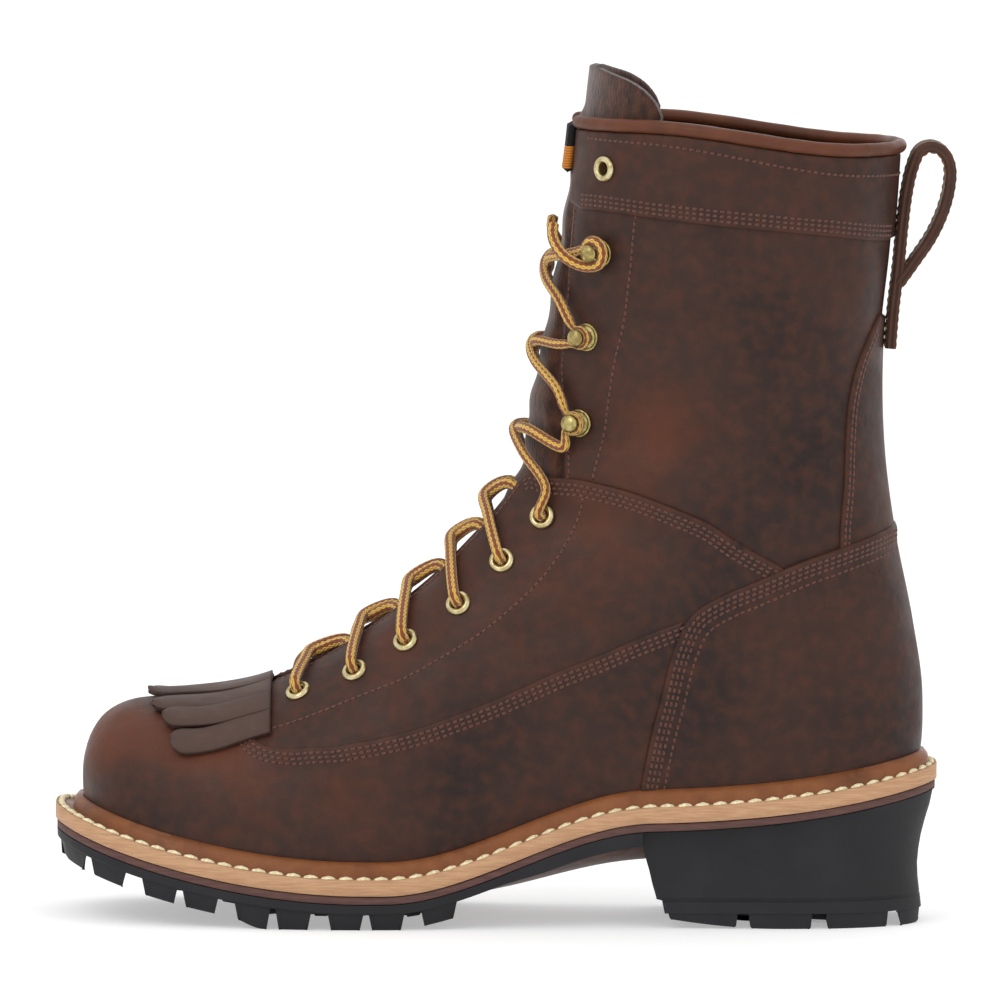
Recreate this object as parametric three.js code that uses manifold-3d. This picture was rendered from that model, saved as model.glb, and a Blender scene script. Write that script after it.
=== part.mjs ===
// Logger boot for the left foot, in millimetres, +Z up.
// The toe points to -X, the outer side of the foot faces -Y, and the sole stands on Z = 0.
// Every curved piece comes from one function, skinPoint, which gives the last's surface.
import * as THREE from 'three';
import Module from 'manifold-3d';
import { mergeVertices } from 'three/addons/utils/BufferGeometryUtils.js';

const wasm = await Module();
wasm.setup();

// Sizes of the last
const LAST_LENGTH = 300.2;
const BALL_WIDTH = 100;
const HEEL_WIDTH = 80;
const COLLAR_WIDTH = 104;
const INSTEP_RISE = 134;
const SHAFT_RISE = 116;
const COLLAR_DROP = 8;

// Shape of the sole seen from the side
const TOE_SPRING = 22.8;
const HEEL_LIFT = 25.7;
const HEEL_RAKE = 13.5;

// Leather thicknesses and the room between pieces
const GAP = 0.3;
const SHELL_WALL = 1.6;
const OVERLAY_WALL = 1.1;
const LAP_HEIGHT = 0.9;
const LAP_WIDTH = 10;
const TONGUE_WALL = 2.2;
const INSOLE_WALL = 3;
const BINDING_HEIGHT = 4.6;
const BINDING_WIDTH = 4.6;

// Sole layers, from the welt down to the floor
const WELT_SHELF = 6.5;
const TOE_SHELF = 3.5;
const WELT_WALL = 2.2;
const BEAD_HEIGHT = 6;
const BEAD_WIDTH = 3.6;
const MIDSOLE_WALL = 2.9;
const RUBBER_WALL = 2.6;
const OUTSOLE_WALL = 3.4;
const LUG_DEPTH = 5.7;
const SOLE_INSET = 0.5;

// Lugs of the outsole and notches of the heel
const LUG_PITCH = 16.5;
const NARROW_GROOVE = 4;
const WIDE_GROOVE = 8;
const SIDE_LUG_REACH = 27;
const CENTRE_LUG = 17;
const GROOVE_DRAFT = 1;
const LUG_INSET = 1.2;
const LUG_ROOT = 0.5;
const HEEL_TAPER = 6;
const HEEL_NOTCH_DEPTH = 5.5;
const HEEL_NOTCH_REACH = 16;

// Eyelets, hooks and lace
const EYELET_RADIUS = 4.7;
const EYELET_HOLE = 2.35;
const EYELET_HEIGHT = 1.4;
const HOOK_BASE_RADIUS = 5;
const HOOK_BASE_HEIGHT = 0.7;
const HOOK_NECK_RADIUS = 1.7;
const HOOK_NECK_HEIGHT = 5.9;
const HOOK_HEAD_RADIUS = 3.3;
const HOOK_HEAD_HEIGHT = 2.2;
const LACE_WIDTH = 4;

// Pull loop
const LOOP_WIDTH = 19;
const LOOP_WALL = 4;
const LOOP_REACH = 18;
const LOOP_HEIGHT = 72;
const LOOP_TOP_DROP = 2.5;

// Fringe
const FRINGE_WALL = 1.5;
const FRINGE_LIFT = 3.2;

// Where the last's origin lies along it, as a share of its length
const ORIGIN_SHARE = 0.489;

// How fine the curved forms are cut
const FORM_SIDES = 16;
const FORM_ROWS = [1, 2, 3, 4, 5, 6, 7, 8, 9, 10, 11, 12, 13, 14, 15.5, 17, 19, 21, 23];
const FEATHER_POINTS = 40;
const SLAB_STEPS = 30;
const TURNED_SIDES = 8;
const HOLE_SIDES = 5;
const LACE_SIDES = 5;
const LACE_STEPS = 6;
const BINDING_STEPS = 22;
const BINDING_SIDES = 6;

const materialOf = (colour, roughness, metalness = 0) =>
  new THREE.MeshStandardMaterial({ color: colour, roughness, metalness });
const LEATHER = () => materialOf(0x523a32, 0.6);
const SUEDE = () => materialOf(0x643a22, 0.9);
const FRINGE_LEATHER = () => materialOf(0x5c4841, 0.7);
const BINDING_LEATHER = () => materialOf(0x7d462d, 0.5);
const WELT_LEATHER = () => materialOf(0x96602f, 0.5);
const TAN_LEATHER = () => materialOf(0xb98c69, 0.6);
const BROWN_RUBBER = () => materialOf(0x694b44, 0.7);
const BLACK_RUBBER = () => materialOf(0x2d2d30, 0.75);
const BRASS = () => materialOf(0xc8be96, 0.35, 1);
const LACE_YARN = () => materialOf(0xd8a53a, 0.8);

// Sections of the last, toe to collar. topX and lowX are shares of the length, toe to heel.
// topRise and lowRise are levels over the sole: 0 at the welt, 1 at the ankle bend, 2 at the collar.
// outer and inner are shares of the width named in across; widest is how far up the section is widest.
// lowRound and topRound are how square the two ends are, and swing is the toe's turn inwards.
const SECTION_COLUMNS = [
  'topX', 'topRise', 'lowX', 'lowRise', 'across', 'outer', 'inner', 'widest', 'lowRound', 'topRound', 'swing',
];
const SECTIONS = [
  [0.000, 0.095, 0.000, 0.095, BALL_WIDTH, 0.000, 0.000, 0.50, 2.2, 2.20, 0.055],
  [0.002, 0.152, 0.003, 0.016, BALL_WIDTH, 0.130, 0.135, 0.45, 2.3, 2.20, 0.055],
  [0.011, 0.220, 0.011, -0.015, BALL_WIDTH, 0.220, 0.220, 0.42, 2.4, 2.20, 0.055],
  [0.029, 0.285, 0.027, -0.040, BALL_WIDTH, 0.310, 0.300, 0.38, 2.5, 2.20, 0.055],
  [0.061, 0.341, 0.059, -0.062, BALL_WIDTH, 0.395, 0.370, 0.34, 2.7, 2.25, 0.050],
  [0.113, 0.385, 0.111, -0.083, BALL_WIDTH, 0.465, 0.430, 0.32, 2.8, 2.25, 0.045],
  [0.173, 0.432, 0.171, -0.099, BALL_WIDTH, 0.500, 0.465, 0.32, 2.8, 2.25, 0.035],
  [0.233, 0.492, 0.234, -0.104, BALL_WIDTH, 0.520, 0.480, 0.32, 2.8, 2.20, 0.025],
  [0.292, 0.574, 0.309, -0.111, BALL_WIDTH, 0.523, 0.475, 0.33, 2.8, 2.10, 0.010],
  [0.356, 0.678, 0.402, -0.125, BALL_WIDTH, 0.500, 0.445, 0.36, 2.7, 2.05, 0.000],
  [0.411, 0.774, 0.509, -0.156, BALL_WIDTH, 0.458, 0.398, 0.40, 2.6, 2.00, -0.008],
  [0.457, 0.861, 0.639, -0.187, HEEL_WIDTH, 0.529, 0.469, 0.42, 2.5, 2.00, -0.008],
  [0.489, 0.932, 0.789, -0.188, HEEL_WIDTH, 0.506, 0.475, 0.42, 2.5, 2.05, -0.004],
  [0.509, 1.000, 0.935, -0.206, HEEL_WIDTH, 0.498, 0.485, 0.42, 2.5, 2.10, 0.000],
  [0.521, 1.092, 0.990, -0.023, HEEL_WIDTH, 0.498, 0.491, 0.42, 2.4, 2.15, 0.000],
  [0.529, 1.204, 0.999, 0.182, HEEL_WIDTH, 0.504, 0.498, 0.42, 2.3, 2.20, 0.000],
  [0.540, 1.330, 0.986, 0.397, HEEL_WIDTH, 0.519, 0.512, 0.42, 2.2, 2.20, 0.000],
  [0.550, 1.475, 0.964, 0.647, HEEL_WIDTH, 0.541, 0.537, 0.42, 2.2, 2.25, 0.000],
  [0.561, 1.637, 0.950, 0.892, COLLAR_WIDTH, 0.438, 0.435, 0.43, 2.2, 2.30, 0.000],
  [0.569, 1.784, 0.948, 1.170, COLLAR_WIDTH, 0.459, 0.455, 0.44, 2.25, 2.30, 0.000],
  [0.575, 1.899, 0.959, 1.466, COLLAR_WIDTH, 0.479, 0.475, 0.45, 2.3, 2.30, 0.000],
  [0.579, 2.000, 0.966, 1.755, COLLAR_WIDTH, 0.495, 0.490, 0.46, 2.3, 2.30, 0.000],
  [0.583, 2.100, 0.970, 2.028, COLLAR_WIDTH, 0.505, 0.500, 0.46, 2.3, 2.30, 0.000],
  [0.588, 2.210, 0.972, 2.270, COLLAR_WIDTH, 0.512, 0.507, 0.46, 2.3, 2.30, 0.000],
];
const LAST_ROW = SECTIONS.length - 1;

// Half the width of the throat's opening along the sections: row, share of the ball width.
const THROAT = [
  [6.75, 0.080], [8.75, 0.090], [10.75, 0.100], [12.75, 0.120], [13.25, 0.200], [13.75, 0.245],
  [14.25, 0.232], [15.25, 0.205], [15.75, 0.178], [17.25, 0.172], [18.75, 0.140], [20.75, 0.095], [23.0, 0.085],
];

// Seams seen from the side: station along the last, level over the sole.
const VAMP_EDGE = [
  [0.262, 0.313], [0.321, 0.341], [0.380, 0.375], [0.438, 0.400], [0.497, 0.407],
  [0.556, 0.415], [0.614, 0.424], [0.661, 0.450], [0.718, 0.501],
];
const VAMP_TAB = [[0.217, 0.374], [0.202, 0.345], [0.202, 0.322], [0.217, 0.302]];
const QUARTER_TOP = [
  [0.520, 0.960], [0.548, 0.934], [0.589, 0.898], [0.613, 0.871], [0.672, 0.812],
  [0.707, 0.780], [0.742, 0.743], [0.778, 0.686], [0.819, 0.627],
];
const COUNTER_EDGE = [
  [0.655, -0.040], [0.663, 0.052], [0.674, 0.179], [0.686, 0.284], [0.699, 0.402], [0.720, 0.501],
  [0.755, 0.551], [0.802, 0.588], [0.849, 0.622], [0.908, 0.647], [0.961, 0.664],
];
const BACKSTAY_EDGE = [
  [0.898, 0.660], [0.902, 0.769], [0.904, 0.925], [0.908, 1.034], [0.918, 1.135], [0.930, 1.203], [0.945, 1.277],
];
const BAND_EDGE = [
  [0.560, 1.718], [0.586, 1.708], [0.657, 1.650], [0.727, 1.625], [0.797, 1.596], [0.880, 1.549], [0.953, 1.491],
];
const TONGUE_EDGE = [
  [0.209, 0.375], [0.320, 0.470], [0.420, 0.600], [0.500, 0.720], [0.565, 0.830], [0.610, 0.965],
  [0.640, 1.300], [0.655, 1.640], [0.675, 1.953], [0.669, 1.987], [0.656, 2.028], [0.635, 2.071], [0.594, 2.138],
];

// Lacing, bottom to top: kind, station, level.
const LACING = [
  ['eyelet', 0.257, 0.471], ['eyelet', 0.324, 0.538], ['eyelet', 0.384, 0.617], ['eyelet', 0.446, 0.686],
  ['eyelet', 0.497, 0.759], ['eyelet', 0.544, 0.834], ['hook', 0.584, 1.057], ['hook', 0.592, 1.314],
  ['hook', 0.607, 1.561], ['eyelet', 0.614, 1.816],
];
const LACED_SITES = 9;

// Small helpers
const smoothStep = (value) => THREE.MathUtils.smoothstep(value, 0, 1);
const along = (share) => (share - ORIGIN_SHARE) * LAST_LENGTH;
const shareAt = (x) => x / LAST_LENGTH + ORIGIN_SHARE;
const SOLE_STACK = WELT_WALL + MIDSOLE_WALL + RUBBER_WALL + OUTSOLE_WALL + LUG_DEPTH + 3.5 * GAP;

// Height of the welt's shelf at a place along the boot
function weltTop(x) {
  const share = shareAt(x);
  const toe = Math.max(0, (0.339 - share) / 0.376);
  const lift = smoothStep((share - 0.362) / 0.32);
  const rake = Math.max(0, (share - 0.656) / 0.36);
  return SOLE_STACK + TOE_SPRING * toe * toe + HEEL_LIFT * lift + HEEL_RAKE * rake * rake;
}

// Height of a level over the sole
function levelHeight(x, level) {
  const rise = level <= 1 ? level * INSTEP_RISE : INSTEP_RISE + (level - 1) * SHAFT_RISE;
  return weltTop(x) + rise;
}

// A section row in millimetres
function sectionRow(values) {
  const row = Object.fromEntries(SECTION_COLUMNS.map((name, i) => [name, values[i]]));
  const topX = along(row.topX);
  const lowX = along(row.lowX);
  return [
    topX, levelHeight(topX, row.topRise), lowX, levelHeight(lowX, row.lowRise),
    row.outer * row.across, row.inner * row.across, row.widest, row.lowRound, row.topRound,
    row.swing * BALL_WIDTH,
  ];
}
const ROWS = SECTIONS.map(sectionRow);

// The row before the toe's tip mirrors the one after it, so that the tip closes round
const beforeToe = [...ROWS[1]];
[beforeToe[1], beforeToe[3]] = [ROWS[1][3], ROWS[1][1]];
[beforeToe[4], beforeToe[5]] = [-ROWS[1][4], -ROWS[1][5]];
const afterTop = ROWS[LAST_ROW].map((value, i) => 2 * value - ROWS[LAST_ROW - 1][i]);

// Smooth blend between the rows at a place counted in rows
function sectionAt(place) {
  const i = Math.min(LAST_ROW - 1, Math.max(0, Math.floor(place)));
  const t = place - i;
  const before = i > 0 ? ROWS[i - 1] : beforeToe;
  const after = i + 2 <= LAST_ROW ? ROWS[i + 2] : afterTop;
  return ROWS[i].map((b, k) => {
    const [a, c, d] = [before[k], ROWS[i + 1][k], after[k]];
    return 0.5 * (2 * b + (c - a) * t + (2 * a - 5 * b + 4 * c - d) * t * t + (3 * b - a - 3 * c + d) * t * t * t);
  });
}

// Point of the last's surface. turn is 0 under the foot or at the back, PI at the top or front.
// A positive turn lies on the outer side.
function lastPoint(place, turn) {
  const [topX, topZ, lowX, lowZ, outer, inner, widest, lowRound, topRound, centre] = sectionAt(place);
  const angle = Math.abs(turn);
  const low = angle < Math.PI / 2;
  const power = 2 / (low ? lowRound : topRound);
  const c = Math.abs(Math.cos(angle)) ** power;
  const s = Math.abs(Math.sin(angle)) ** power;
  const up = low ? widest * (1 - c) : widest + (1 - widest) * c;
  const side = turn >= 0 ? -outer : inner;
  return new THREE.Vector3(lowX + up * (topX - lowX), centre + side * s, lowZ + up * (topZ - lowZ));
}

// Outward direction of the last's surface
function lastNormal(place, turn) {
  const step = 0.02;
  const from = Math.max(0.05, Math.min(LAST_ROW - step, place));
  const forward = lastPoint(from + step, turn).sub(lastPoint(from - step, turn));
  const around = lastPoint(from, turn + step).sub(lastPoint(from, turn - step));
  return forward.cross(around).normalize();
}

// Point at a distance outside the last's surface
function skinPoint(place, turn, offset) {
  return lastPoint(place, turn).addScaledVector(lastNormal(place, turn), offset);
}

// Solids
function solidOf(geometry) {
  const plain = geometry.clone();
  plain.deleteAttribute('normal');
  plain.deleteAttribute('uv');
  const merged = mergeVertices(plain, 1e-4);
  return new wasm.Manifold(new wasm.Mesh({
    numProp: 3,
    vertProperties: new Float32Array(merged.attributes.position.array),
    triVerts: new Uint32Array(merged.index.array),
  }));
}

function geometryOf(solid) {
  const mesh = solid.getMesh();
  const geometry = new THREE.BufferGeometry();
  geometry.setAttribute('position', new THREE.BufferAttribute(new Float32Array(mesh.vertProperties), 3));
  geometry.setIndex([...mesh.triVerts]);
  geometry.computeVertexNormals();
  return geometry;
}

// Closed solid through rings of points. The ends are closed with a tip each, or the rings form a loop.
function loft(rings, { loop = false, startTip = null, endTip = null } = {}) {
  const size = rings[0].length;
  const points = rings.flat();
  const triangles = [];
  const spans = loop ? rings.length : rings.length - 1;
  for (let i = 0; i < spans; i += 1) {
    const here = i * size;
    const next = ((i + 1) % rings.length) * size;
    for (let j = 0; j < size; j += 1) {
      const k = (j + 1) % size;
      triangles.push([here + j, next + j, here + k], [here + k, next + j, next + k]);
    }
  }
  if (!loop) {
    const middle = (ring) => ring.reduce((sum, p) => sum.add(p), new THREE.Vector3()).divideScalar(size);
    const start = points.push(startTip ?? middle(rings[0])) - 1;
    const end = points.push(endTip ?? middle(rings[rings.length - 1])) - 1;
    const last = (rings.length - 1) * size;
    for (let j = 0; j < size; j += 1) {
      const k = (j + 1) % size;
      triangles.push([start, j, k], [end, last + k, last + j]);
    }
  }
  const volume = triangles.reduce((sum, [a, b, c]) =>
    sum + points[a].dot(points[b].clone().cross(points[c])), 0);
  const facing = volume > 0 ? triangles : triangles.map(([a, b, c]) => [a, c, b]);
  const geometry = new THREE.BufferGeometry();
  const numbers = points.flatMap((p) => [p.x, p.y, p.z]);
  geometry.setAttribute('position', new THREE.Float32BufferAttribute(numbers, 3));
  geometry.setIndex(facing.flat());
  return solidOf(geometry);
}

// The whole last, grown or shrunk
function lastForm(offset) {
  const rings = FORM_ROWS.map((place) => Array.from({ length: FORM_SIDES }, (_, i) =>
    skinPoint(place, -Math.PI + (2 * Math.PI * i) / FORM_SIDES, offset)));
  const tip = lastPoint(0, 0);
  tip.x -= offset;
  return loft(rings, { startTip: tip });
}

const layer = (low, high) => lastForm(high).subtract(lastForm(low));

// Cutting shapes reach well past the boot
const TALL = 400;
const WIDE = TALL / 4;
const DEEP = -TALL / 6;

// Smooth line through points of a side view, as [x, z] pairs
function sideCurve(rows, steps = 2) {
  const points = rows.map(([share, level]) => new THREE.Vector2(along(share), levelHeight(along(share), level)));
  return new THREE.SplineCurve(points).getPoints((rows.length - 1) * steps).map((p) => [p.x, p.y]);
}

// Prism of a side view's outline, from one Y to another
function sidePrism(outline, fromY = -WIDE, toY = WIDE) {
  const shape = new THREE.Shape(outline.map(([x, z]) => new THREE.Vector2(x, z)));
  const geometry = new THREE.ExtrudeGeometry(shape, { depth: toY - fromY, bevelEnabled: false });
  geometry.rotateX(Math.PI / 2);
  geometry.translate(0, toY, 0);
  return solidOf(geometry);
}

// Slab between two heights that change along the boot
function slab(lowAt, highAt, reach = 100, fromShare = -0.1, toShare = 1.12) {
  const rings = [];
  for (let i = 0; i <= SLAB_STEPS; i += 1) {
    const x = along(fromShare + ((toShare - fromShare) * i) / SLAB_STEPS);
    const [low, high] = [lowAt(x), highAt(x)];
    rings.push([[-reach, low], [reach, low], [reach, high], [-reach, high]]
      .map(([y, z]) => new THREE.Vector3(x, y, z)));
  }
  return loft(rings);
}

// Place on the last that a point of the side view shows: the row and the turn
function placeOf(share, level, side) {
  const x = along(share);
  const z = levelHeight(x, level);
  const miss = (place) => {
    const [topX, topZ, lowX, lowZ] = sectionAt(place);
    return (topX - lowX) * (z - lowZ) - (topZ - lowZ) * (x - lowX);
  };
  const heightIn = (place) => {
    const [topX, topZ, lowX, lowZ] = sectionAt(place);
    const span = (topX - lowX) ** 2 + (topZ - lowZ) ** 2;
    return ((x - lowX) * (topX - lowX) + (z - lowZ) * (topZ - lowZ)) / span;
  };
  const step = 0.05;
  for (let from = step; from < LAST_ROW - step; from += step) {
    if (miss(from) * miss(from + step) > 0) continue;
    let [a, b] = [from, from + step];
    for (let i = 0; i < 20; i += 1) {
      const middle = (a + b) / 2;
      if (miss(a) * miss(middle) <= 0) b = middle;
      else a = middle;
    }
    const up = heightIn(a);
    if (up < -0.001 || up > 1.001) continue;
    const section = sectionAt(a);
    const [widest, lowRound, topRound] = section.slice(6, 9);
    const low = up < widest;
    const c = low ? 1 - up / widest : (up - widest) / (1 - widest);
    const angle = Math.acos(Math.min(1, Math.max(0, c)) ** ((low ? lowRound : topRound) / 2));
    return { place: a, turn: side * (low ? angle : Math.PI - angle) };
  }
  throw new Error(`no section passes through ${share}, ${level}`);
}

// Values of a two-column table at a place between its rows
function tableAt(table, place) {
  const next = table.findIndex(([row]) => row >= place);
  if (next <= 0) return next === 0 ? table[0][1] : table[table.length - 1][1];
  const [[a, low], [b, high]] = [table[next - 1], table[next]];
  return low + ((high - low) * (place - a)) / (b - a);
}

const throatHalf = (place) => tableAt(THROAT, place) * BALL_WIDTH;

// Turn at which a section is a given distance off its centre line, near its top
function turnAcross(place, distance) {
  const section = sectionAt(place);
  const width = distance < 0 ? section[4] : section[5];
  const s = Math.min(1, Math.abs(distance) / width) ** (section[8] / 2);
  return (distance < 0 ? 1 : -1) * (Math.PI - Math.asin(s));
}

// The throat's opening as a solid, narrowed by a margin
function throatCutter(margin, startRow = 0) {
  const depth = TALL / 12;
  const height = TALL / 40;
  const rings = THROAT.slice(startRow).map(([place]) => {
    const [topX, topZ, lowX, lowZ, , , , , , centre] = sectionAt(place);
    const top = new THREE.Vector3(topX, 0, topZ);
    const up = new THREE.Vector3(topX - lowX, 0, topZ - lowZ).normalize();
    const half = throatHalf(place) - margin;
    const corner = (y, rise) => top.clone().addScaledVector(up, rise).setY(centre + y);
    return [corner(-half, -depth), corner(half, -depth), corner(half, height), corner(-half, height)];
  });
  return loft(rings);
}

const collarHeight = (x) => levelHeight(along(0.579), 2) - COLLAR_DROP * smoothStep((shareAt(x) - 0.656) / 0.266);

// Levels of the pieces over the last's surface
const SHELL_OUT = -OVERLAY_WALL - GAP;
const SHELL_IN = SHELL_OUT - SHELL_WALL;
const FLOOR_OF_UPPER = (x) => weltTop(x) - WELT_WALL;

const underFoot = slab(() => -TALL, FLOOR_OF_UPPER);
const overCollar = slab((x) => collarHeight(x) - BINDING_HEIGHT - GAP, () => TALL);
const throat = throatCutter(0);

// Regions of the side view
const vampEdge = sideCurve([...VAMP_TAB, ...VAMP_EDGE], 1);
const counterEdge = sideCurve(COUNTER_EDGE, 1);
const FRONT = along(-0.1);
const BACK = along(1.12);
const counterRegion = sidePrism([...counterEdge, [BACK, counterEdge[counterEdge.length - 1][1]], [BACK, DEEP],
  [counterEdge[0][0], DEEP]]);
const facingFront = vampEdge[0][0];
const vampRegion = sidePrism([...vampEdge, [BACK, vampEdge[vampEdge.length - 1][1]], [BACK, DEEP], [FRONT, DEEP],
  [FRONT, TALL / 2], [facingFront, TALL / 2]]);
const shift = (outline, dx, dz) => outline.map(([x, z]) => [x + dx, z + dz]);
const lapLine = sideCurve([...VAMP_TAB.slice(2), ...VAMP_EDGE], 1);
const lapRegion = sidePrism([...lapLine, ...shift(lapLine, LAP_WIDTH * 0.2, -LAP_WIDTH).reverse()]);

// The same regions with the room that their neighbours keep from them
const counterGrown = counterRegion.add(counterRegion.translate([-2 * GAP, 0, GAP]));
const vampGrown = vampRegion.add(vampRegion.translate([0, 0, 2 * GAP])).add(lapRegion.translate([0, 0, 2 * GAP]));
const counterAtWelt = lastForm(GAP).intersect(counterRegion);

// How far the leather stands over the middle of a hook's base, at the base's rim
function rimRise(place, turn, foot, out) {
  const placeLength = lastPoint(place + 0.1, turn).distanceTo(lastPoint(place - 0.1, turn)) / 0.2;
  const turnLength = lastPoint(place, turn + 0.02).distanceTo(lastPoint(place, turn - 0.02)) / 0.04;
  const rises = Array.from({ length: TURNED_SIDES }, (_, i) => {
    const angle = (2 * Math.PI * i) / TURNED_SIDES;
    const rim = lastPoint(place + (HOOK_BASE_RADIUS * Math.cos(angle)) / placeLength,
      turn + (HOOK_BASE_RADIUS * Math.sin(angle)) / turnLength);
    return rim.sub(foot).dot(out);
  });
  return Math.max(0, ...rises);
}

const hardwareSites = LACING.flatMap(([kind, share, level], i) => [1, -1].map((side) => {
  const { place, turn } = placeOf(share, level, side);
  const foot = lastPoint(place, turn);
  const out = lastNormal(place, turn);
  if (kind === 'hook') foot.addScaledVector(out, rimRise(place, turn, foot, out));
  return { kind, number: i + 1, side, place, turn, foot, out };
}));

// A turned solid set on the last's surface, with its axis along the surface's outward direction
function seated(profile, site, offset, segments = TURNED_SIDES) {
  const points = profile.map(([r, h]) => new THREE.Vector2(r, h));
  const geometry = new THREE.LatheGeometry([...points, points[0]], segments);
  geometry.rotateX(Math.PI / 2);
  geometry.applyQuaternion(new THREE.Quaternion().setFromUnitVectors(new THREE.Vector3(0, 0, 1), site.out));
  const seat = site.foot.clone().addScaledVector(site.out, offset);
  geometry.translate(seat.x, seat.y, seat.z);
  return solidOf(geometry);
}

const HOLE_DEPTH = 2 * (OVERLAY_WALL + SHELL_WALL + TONGUE_WALL);
const holeThrough = (site) => seated(
  [[0, -HOLE_DEPTH], [EYELET_HOLE, -HOLE_DEPTH], [EYELET_HOLE, HOLE_DEPTH], [0, HOLE_DEPTH]], site, 0, HOLE_SIDES,
);
const eyeletHoles = hardwareSites.filter((site) => site.kind === 'eyelet').map(holeThrough);
const withHoles = (solid) => eyeletHoles.reduce((left, hole) => left.subtract(hole), solid);

// Upper: the inner shell with the thicker vamp and the vamp's lapped edge
function upper() {
  const shell = lastForm(SHELL_OUT);
  const vamp = lastForm(0).intersect(vampRegion);
  const lap = lastForm(LAP_HEIGHT).intersect(lapRegion).subtract(counterRegion);
  return withHoles(shell.add(vamp.subtract(counterRegion)).add(lap)
    .subtract(lastForm(SHELL_IN)).subtract(underFoot).subtract(overCollar).subtract(throat));
}

const overlay = layer(-OVERLAY_WALL, 0);

// Quarters: the two facings that carry the eyelets
function quarter(side) {
  const top = sideCurve(QUARTER_TOP, 1);
  const half = sidePrism([[facingFront + GAP, TALL / 2], [top[0][0], TALL / 2], ...top,
    [top[top.length - 1][0], DEEP], [facingFront + GAP, DEEP]], side > 0 ? -WIDE : 0, side > 0 ? 0 : WIDE);
  return withHoles(overlay.intersect(half).subtract(vampGrown).subtract(counterGrown)
    .subtract(throat).subtract(underFoot));
}
const counter = () => overlay.intersect(counterRegion).subtract(underFoot);

function backstay() {
  const edge = sideCurve(BACKSTAY_EDGE, 1);
  const region = sidePrism([...edge, [BACK, edge[edge.length - 1][1]], [BACK, edge[0][1]]]);
  return overlay.intersect(region).subtract(counterGrown.translate([0, 0, GAP]));
}

function shaftBand() {
  const edge = sideCurve(BAND_EDGE, 1);
  const region = sidePrism([...edge, [BACK, edge[edge.length - 1][1]], [BACK, TALL], [edge[0][0], TALL]]);
  return withHoles(overlay.intersect(region).subtract(overCollar).subtract(throat));
}

// Rolled binding over the collar's edge, open at the throat
function collarBinding() {
  const rings = [];
  const middle = SHELL_IN + GAP + BINDING_WIDTH / 2;
  const start = turnAcross(LAST_ROW - 2, -throatHalf(LAST_ROW - 2));
  const end = turnAcross(LAST_ROW - 2, throatHalf(LAST_ROW - 2));
  for (let i = 0; i <= BINDING_STEPS; i += 1) {
    const turn = start + ((end - start) * i) / BINDING_STEPS;
    let [low, high] = [LAST_ROW - 5, LAST_ROW];
    for (let k = 0; k < 24; k += 1) {
      const place = (low + high) / 2;
      const point = skinPoint(place, turn, middle);
      if (point.z < collarHeight(point.x) - BINDING_HEIGHT / 2) low = place;
      else high = place;
    }
    const centre = skinPoint(low, turn, middle);
    const out = lastNormal(low, turn).setZ(0).normalize();
    const ring = [];
    for (let k = 0; k < BINDING_SIDES; k += 1) {
      const angle = ((k + 0.5) / BINDING_SIDES) * 2 * Math.PI;
      const [c, s] = [Math.cos(angle), Math.sin(angle)];
      const round = 1.08;
      ring.push(centre.clone().addScaledVector(out, (c * round * BINDING_WIDTH) / 2)
        .add(new THREE.Vector3(0, 0, (s * round * BINDING_HEIGHT) / 2)));
    }
    rings.push(ring);
  }
  return loft(rings);
}

// Tongue: a wide gusseted layer inside the shaft, raised in the throat of the shaft
function tongue() {
  const edge = sideCurve(TONGUE_EDGE, 1);
  const [firstX] = edge[0];
  const top = edge[edge.length - 1];
  const region = sidePrism([...edge, [along(0.45), top[1] + 2], [firstX, TALL / 2]]);
  const out = SHELL_IN - GAP;
  const body = layer(out - TONGUE_WALL, out).intersect(region);
  const raised = layer(out - TONGUE_WALL / 2, -GAP).intersect(throatCutter(2 * GAP, 4)).intersect(region);
  return body.add(raised);
}

const insole = () => lastForm(SHELL_IN - GAP).intersect(
  slab((x) => FLOOR_OF_UPPER(x) + GAP, (x) => FLOOR_OF_UPPER(x) + GAP + INSOLE_WALL),
);

// Feather line: the last's outline where it meets the welt, as points from the toe round the heel
function featherLine(clear) {
  const count = 60;
  const sideLine = (side) => {
    const line = [];
    for (let i = 1; i < count; i += 1) {
      const share = 0.5 - 0.5 * Math.cos((Math.PI * i) / count);
      const { place, turn } = placeOf(0.002 + 0.992 * share, clear / INSTEP_RISE, side);
      const { x, y } = lastPoint(place, turn);
      line.push(new THREE.Vector2(x, y));
    }
    return line;
  };
  return [...sideLine(1), ...sideLine(-1).reverse()];
}
const FEATHER_CLEAR = 5;
const feather = featherLine(FEATHER_CLEAR);
const evenFeather = (() => {
  const closed = new THREE.CatmullRomCurve3(feather.map((p) => new THREE.Vector3(p.x, p.y, 0)), true, 'centripetal');
  return closed.getSpacedPoints(FEATHER_POINTS).slice(0, FEATHER_POINTS);
})();
const featherOut = evenFeather.map((point, i) => {
  const before = evenFeather[(i + FEATHER_POINTS - 1) % FEATHER_POINTS];
  const after = evenFeather[(i + 1) % FEATHER_POINTS];
  return new THREE.Vector3(before.y - after.y, after.x - before.x, 0).normalize();
});
const outwardSign = Math.sign(featherOut[0].dot(evenFeather[0])) || 1;

// How far the sole stands out from the upper
const shelfAt = (x) => WELT_SHELF + TOE_SHELF * smoothStep((0.16 - shareAt(x)) / 0.16);

// Outline of the sole in plan, with the shelf less an inset
function soleOutline(inset) {
  return evenFeather.map((point, i) =>
    point.clone().addScaledVector(featherOut[i], outwardSign * (shelfAt(point.x) - inset)));
}

// Closed wall around an outline with the top and bottom heights of the boot
function soleLayer(outline, lowAt, highAt) {
  const shape = new THREE.Shape(outline.map((p) => new THREE.Vector2(p.x, p.y)));
  const geometry = new THREE.ExtrudeGeometry(shape, { depth: 2 * TALL, bevelEnabled: false });
  geometry.translate(0, 0, -TALL);
  return solidOf(geometry).intersect(slab(lowAt, highAt));
}

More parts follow.
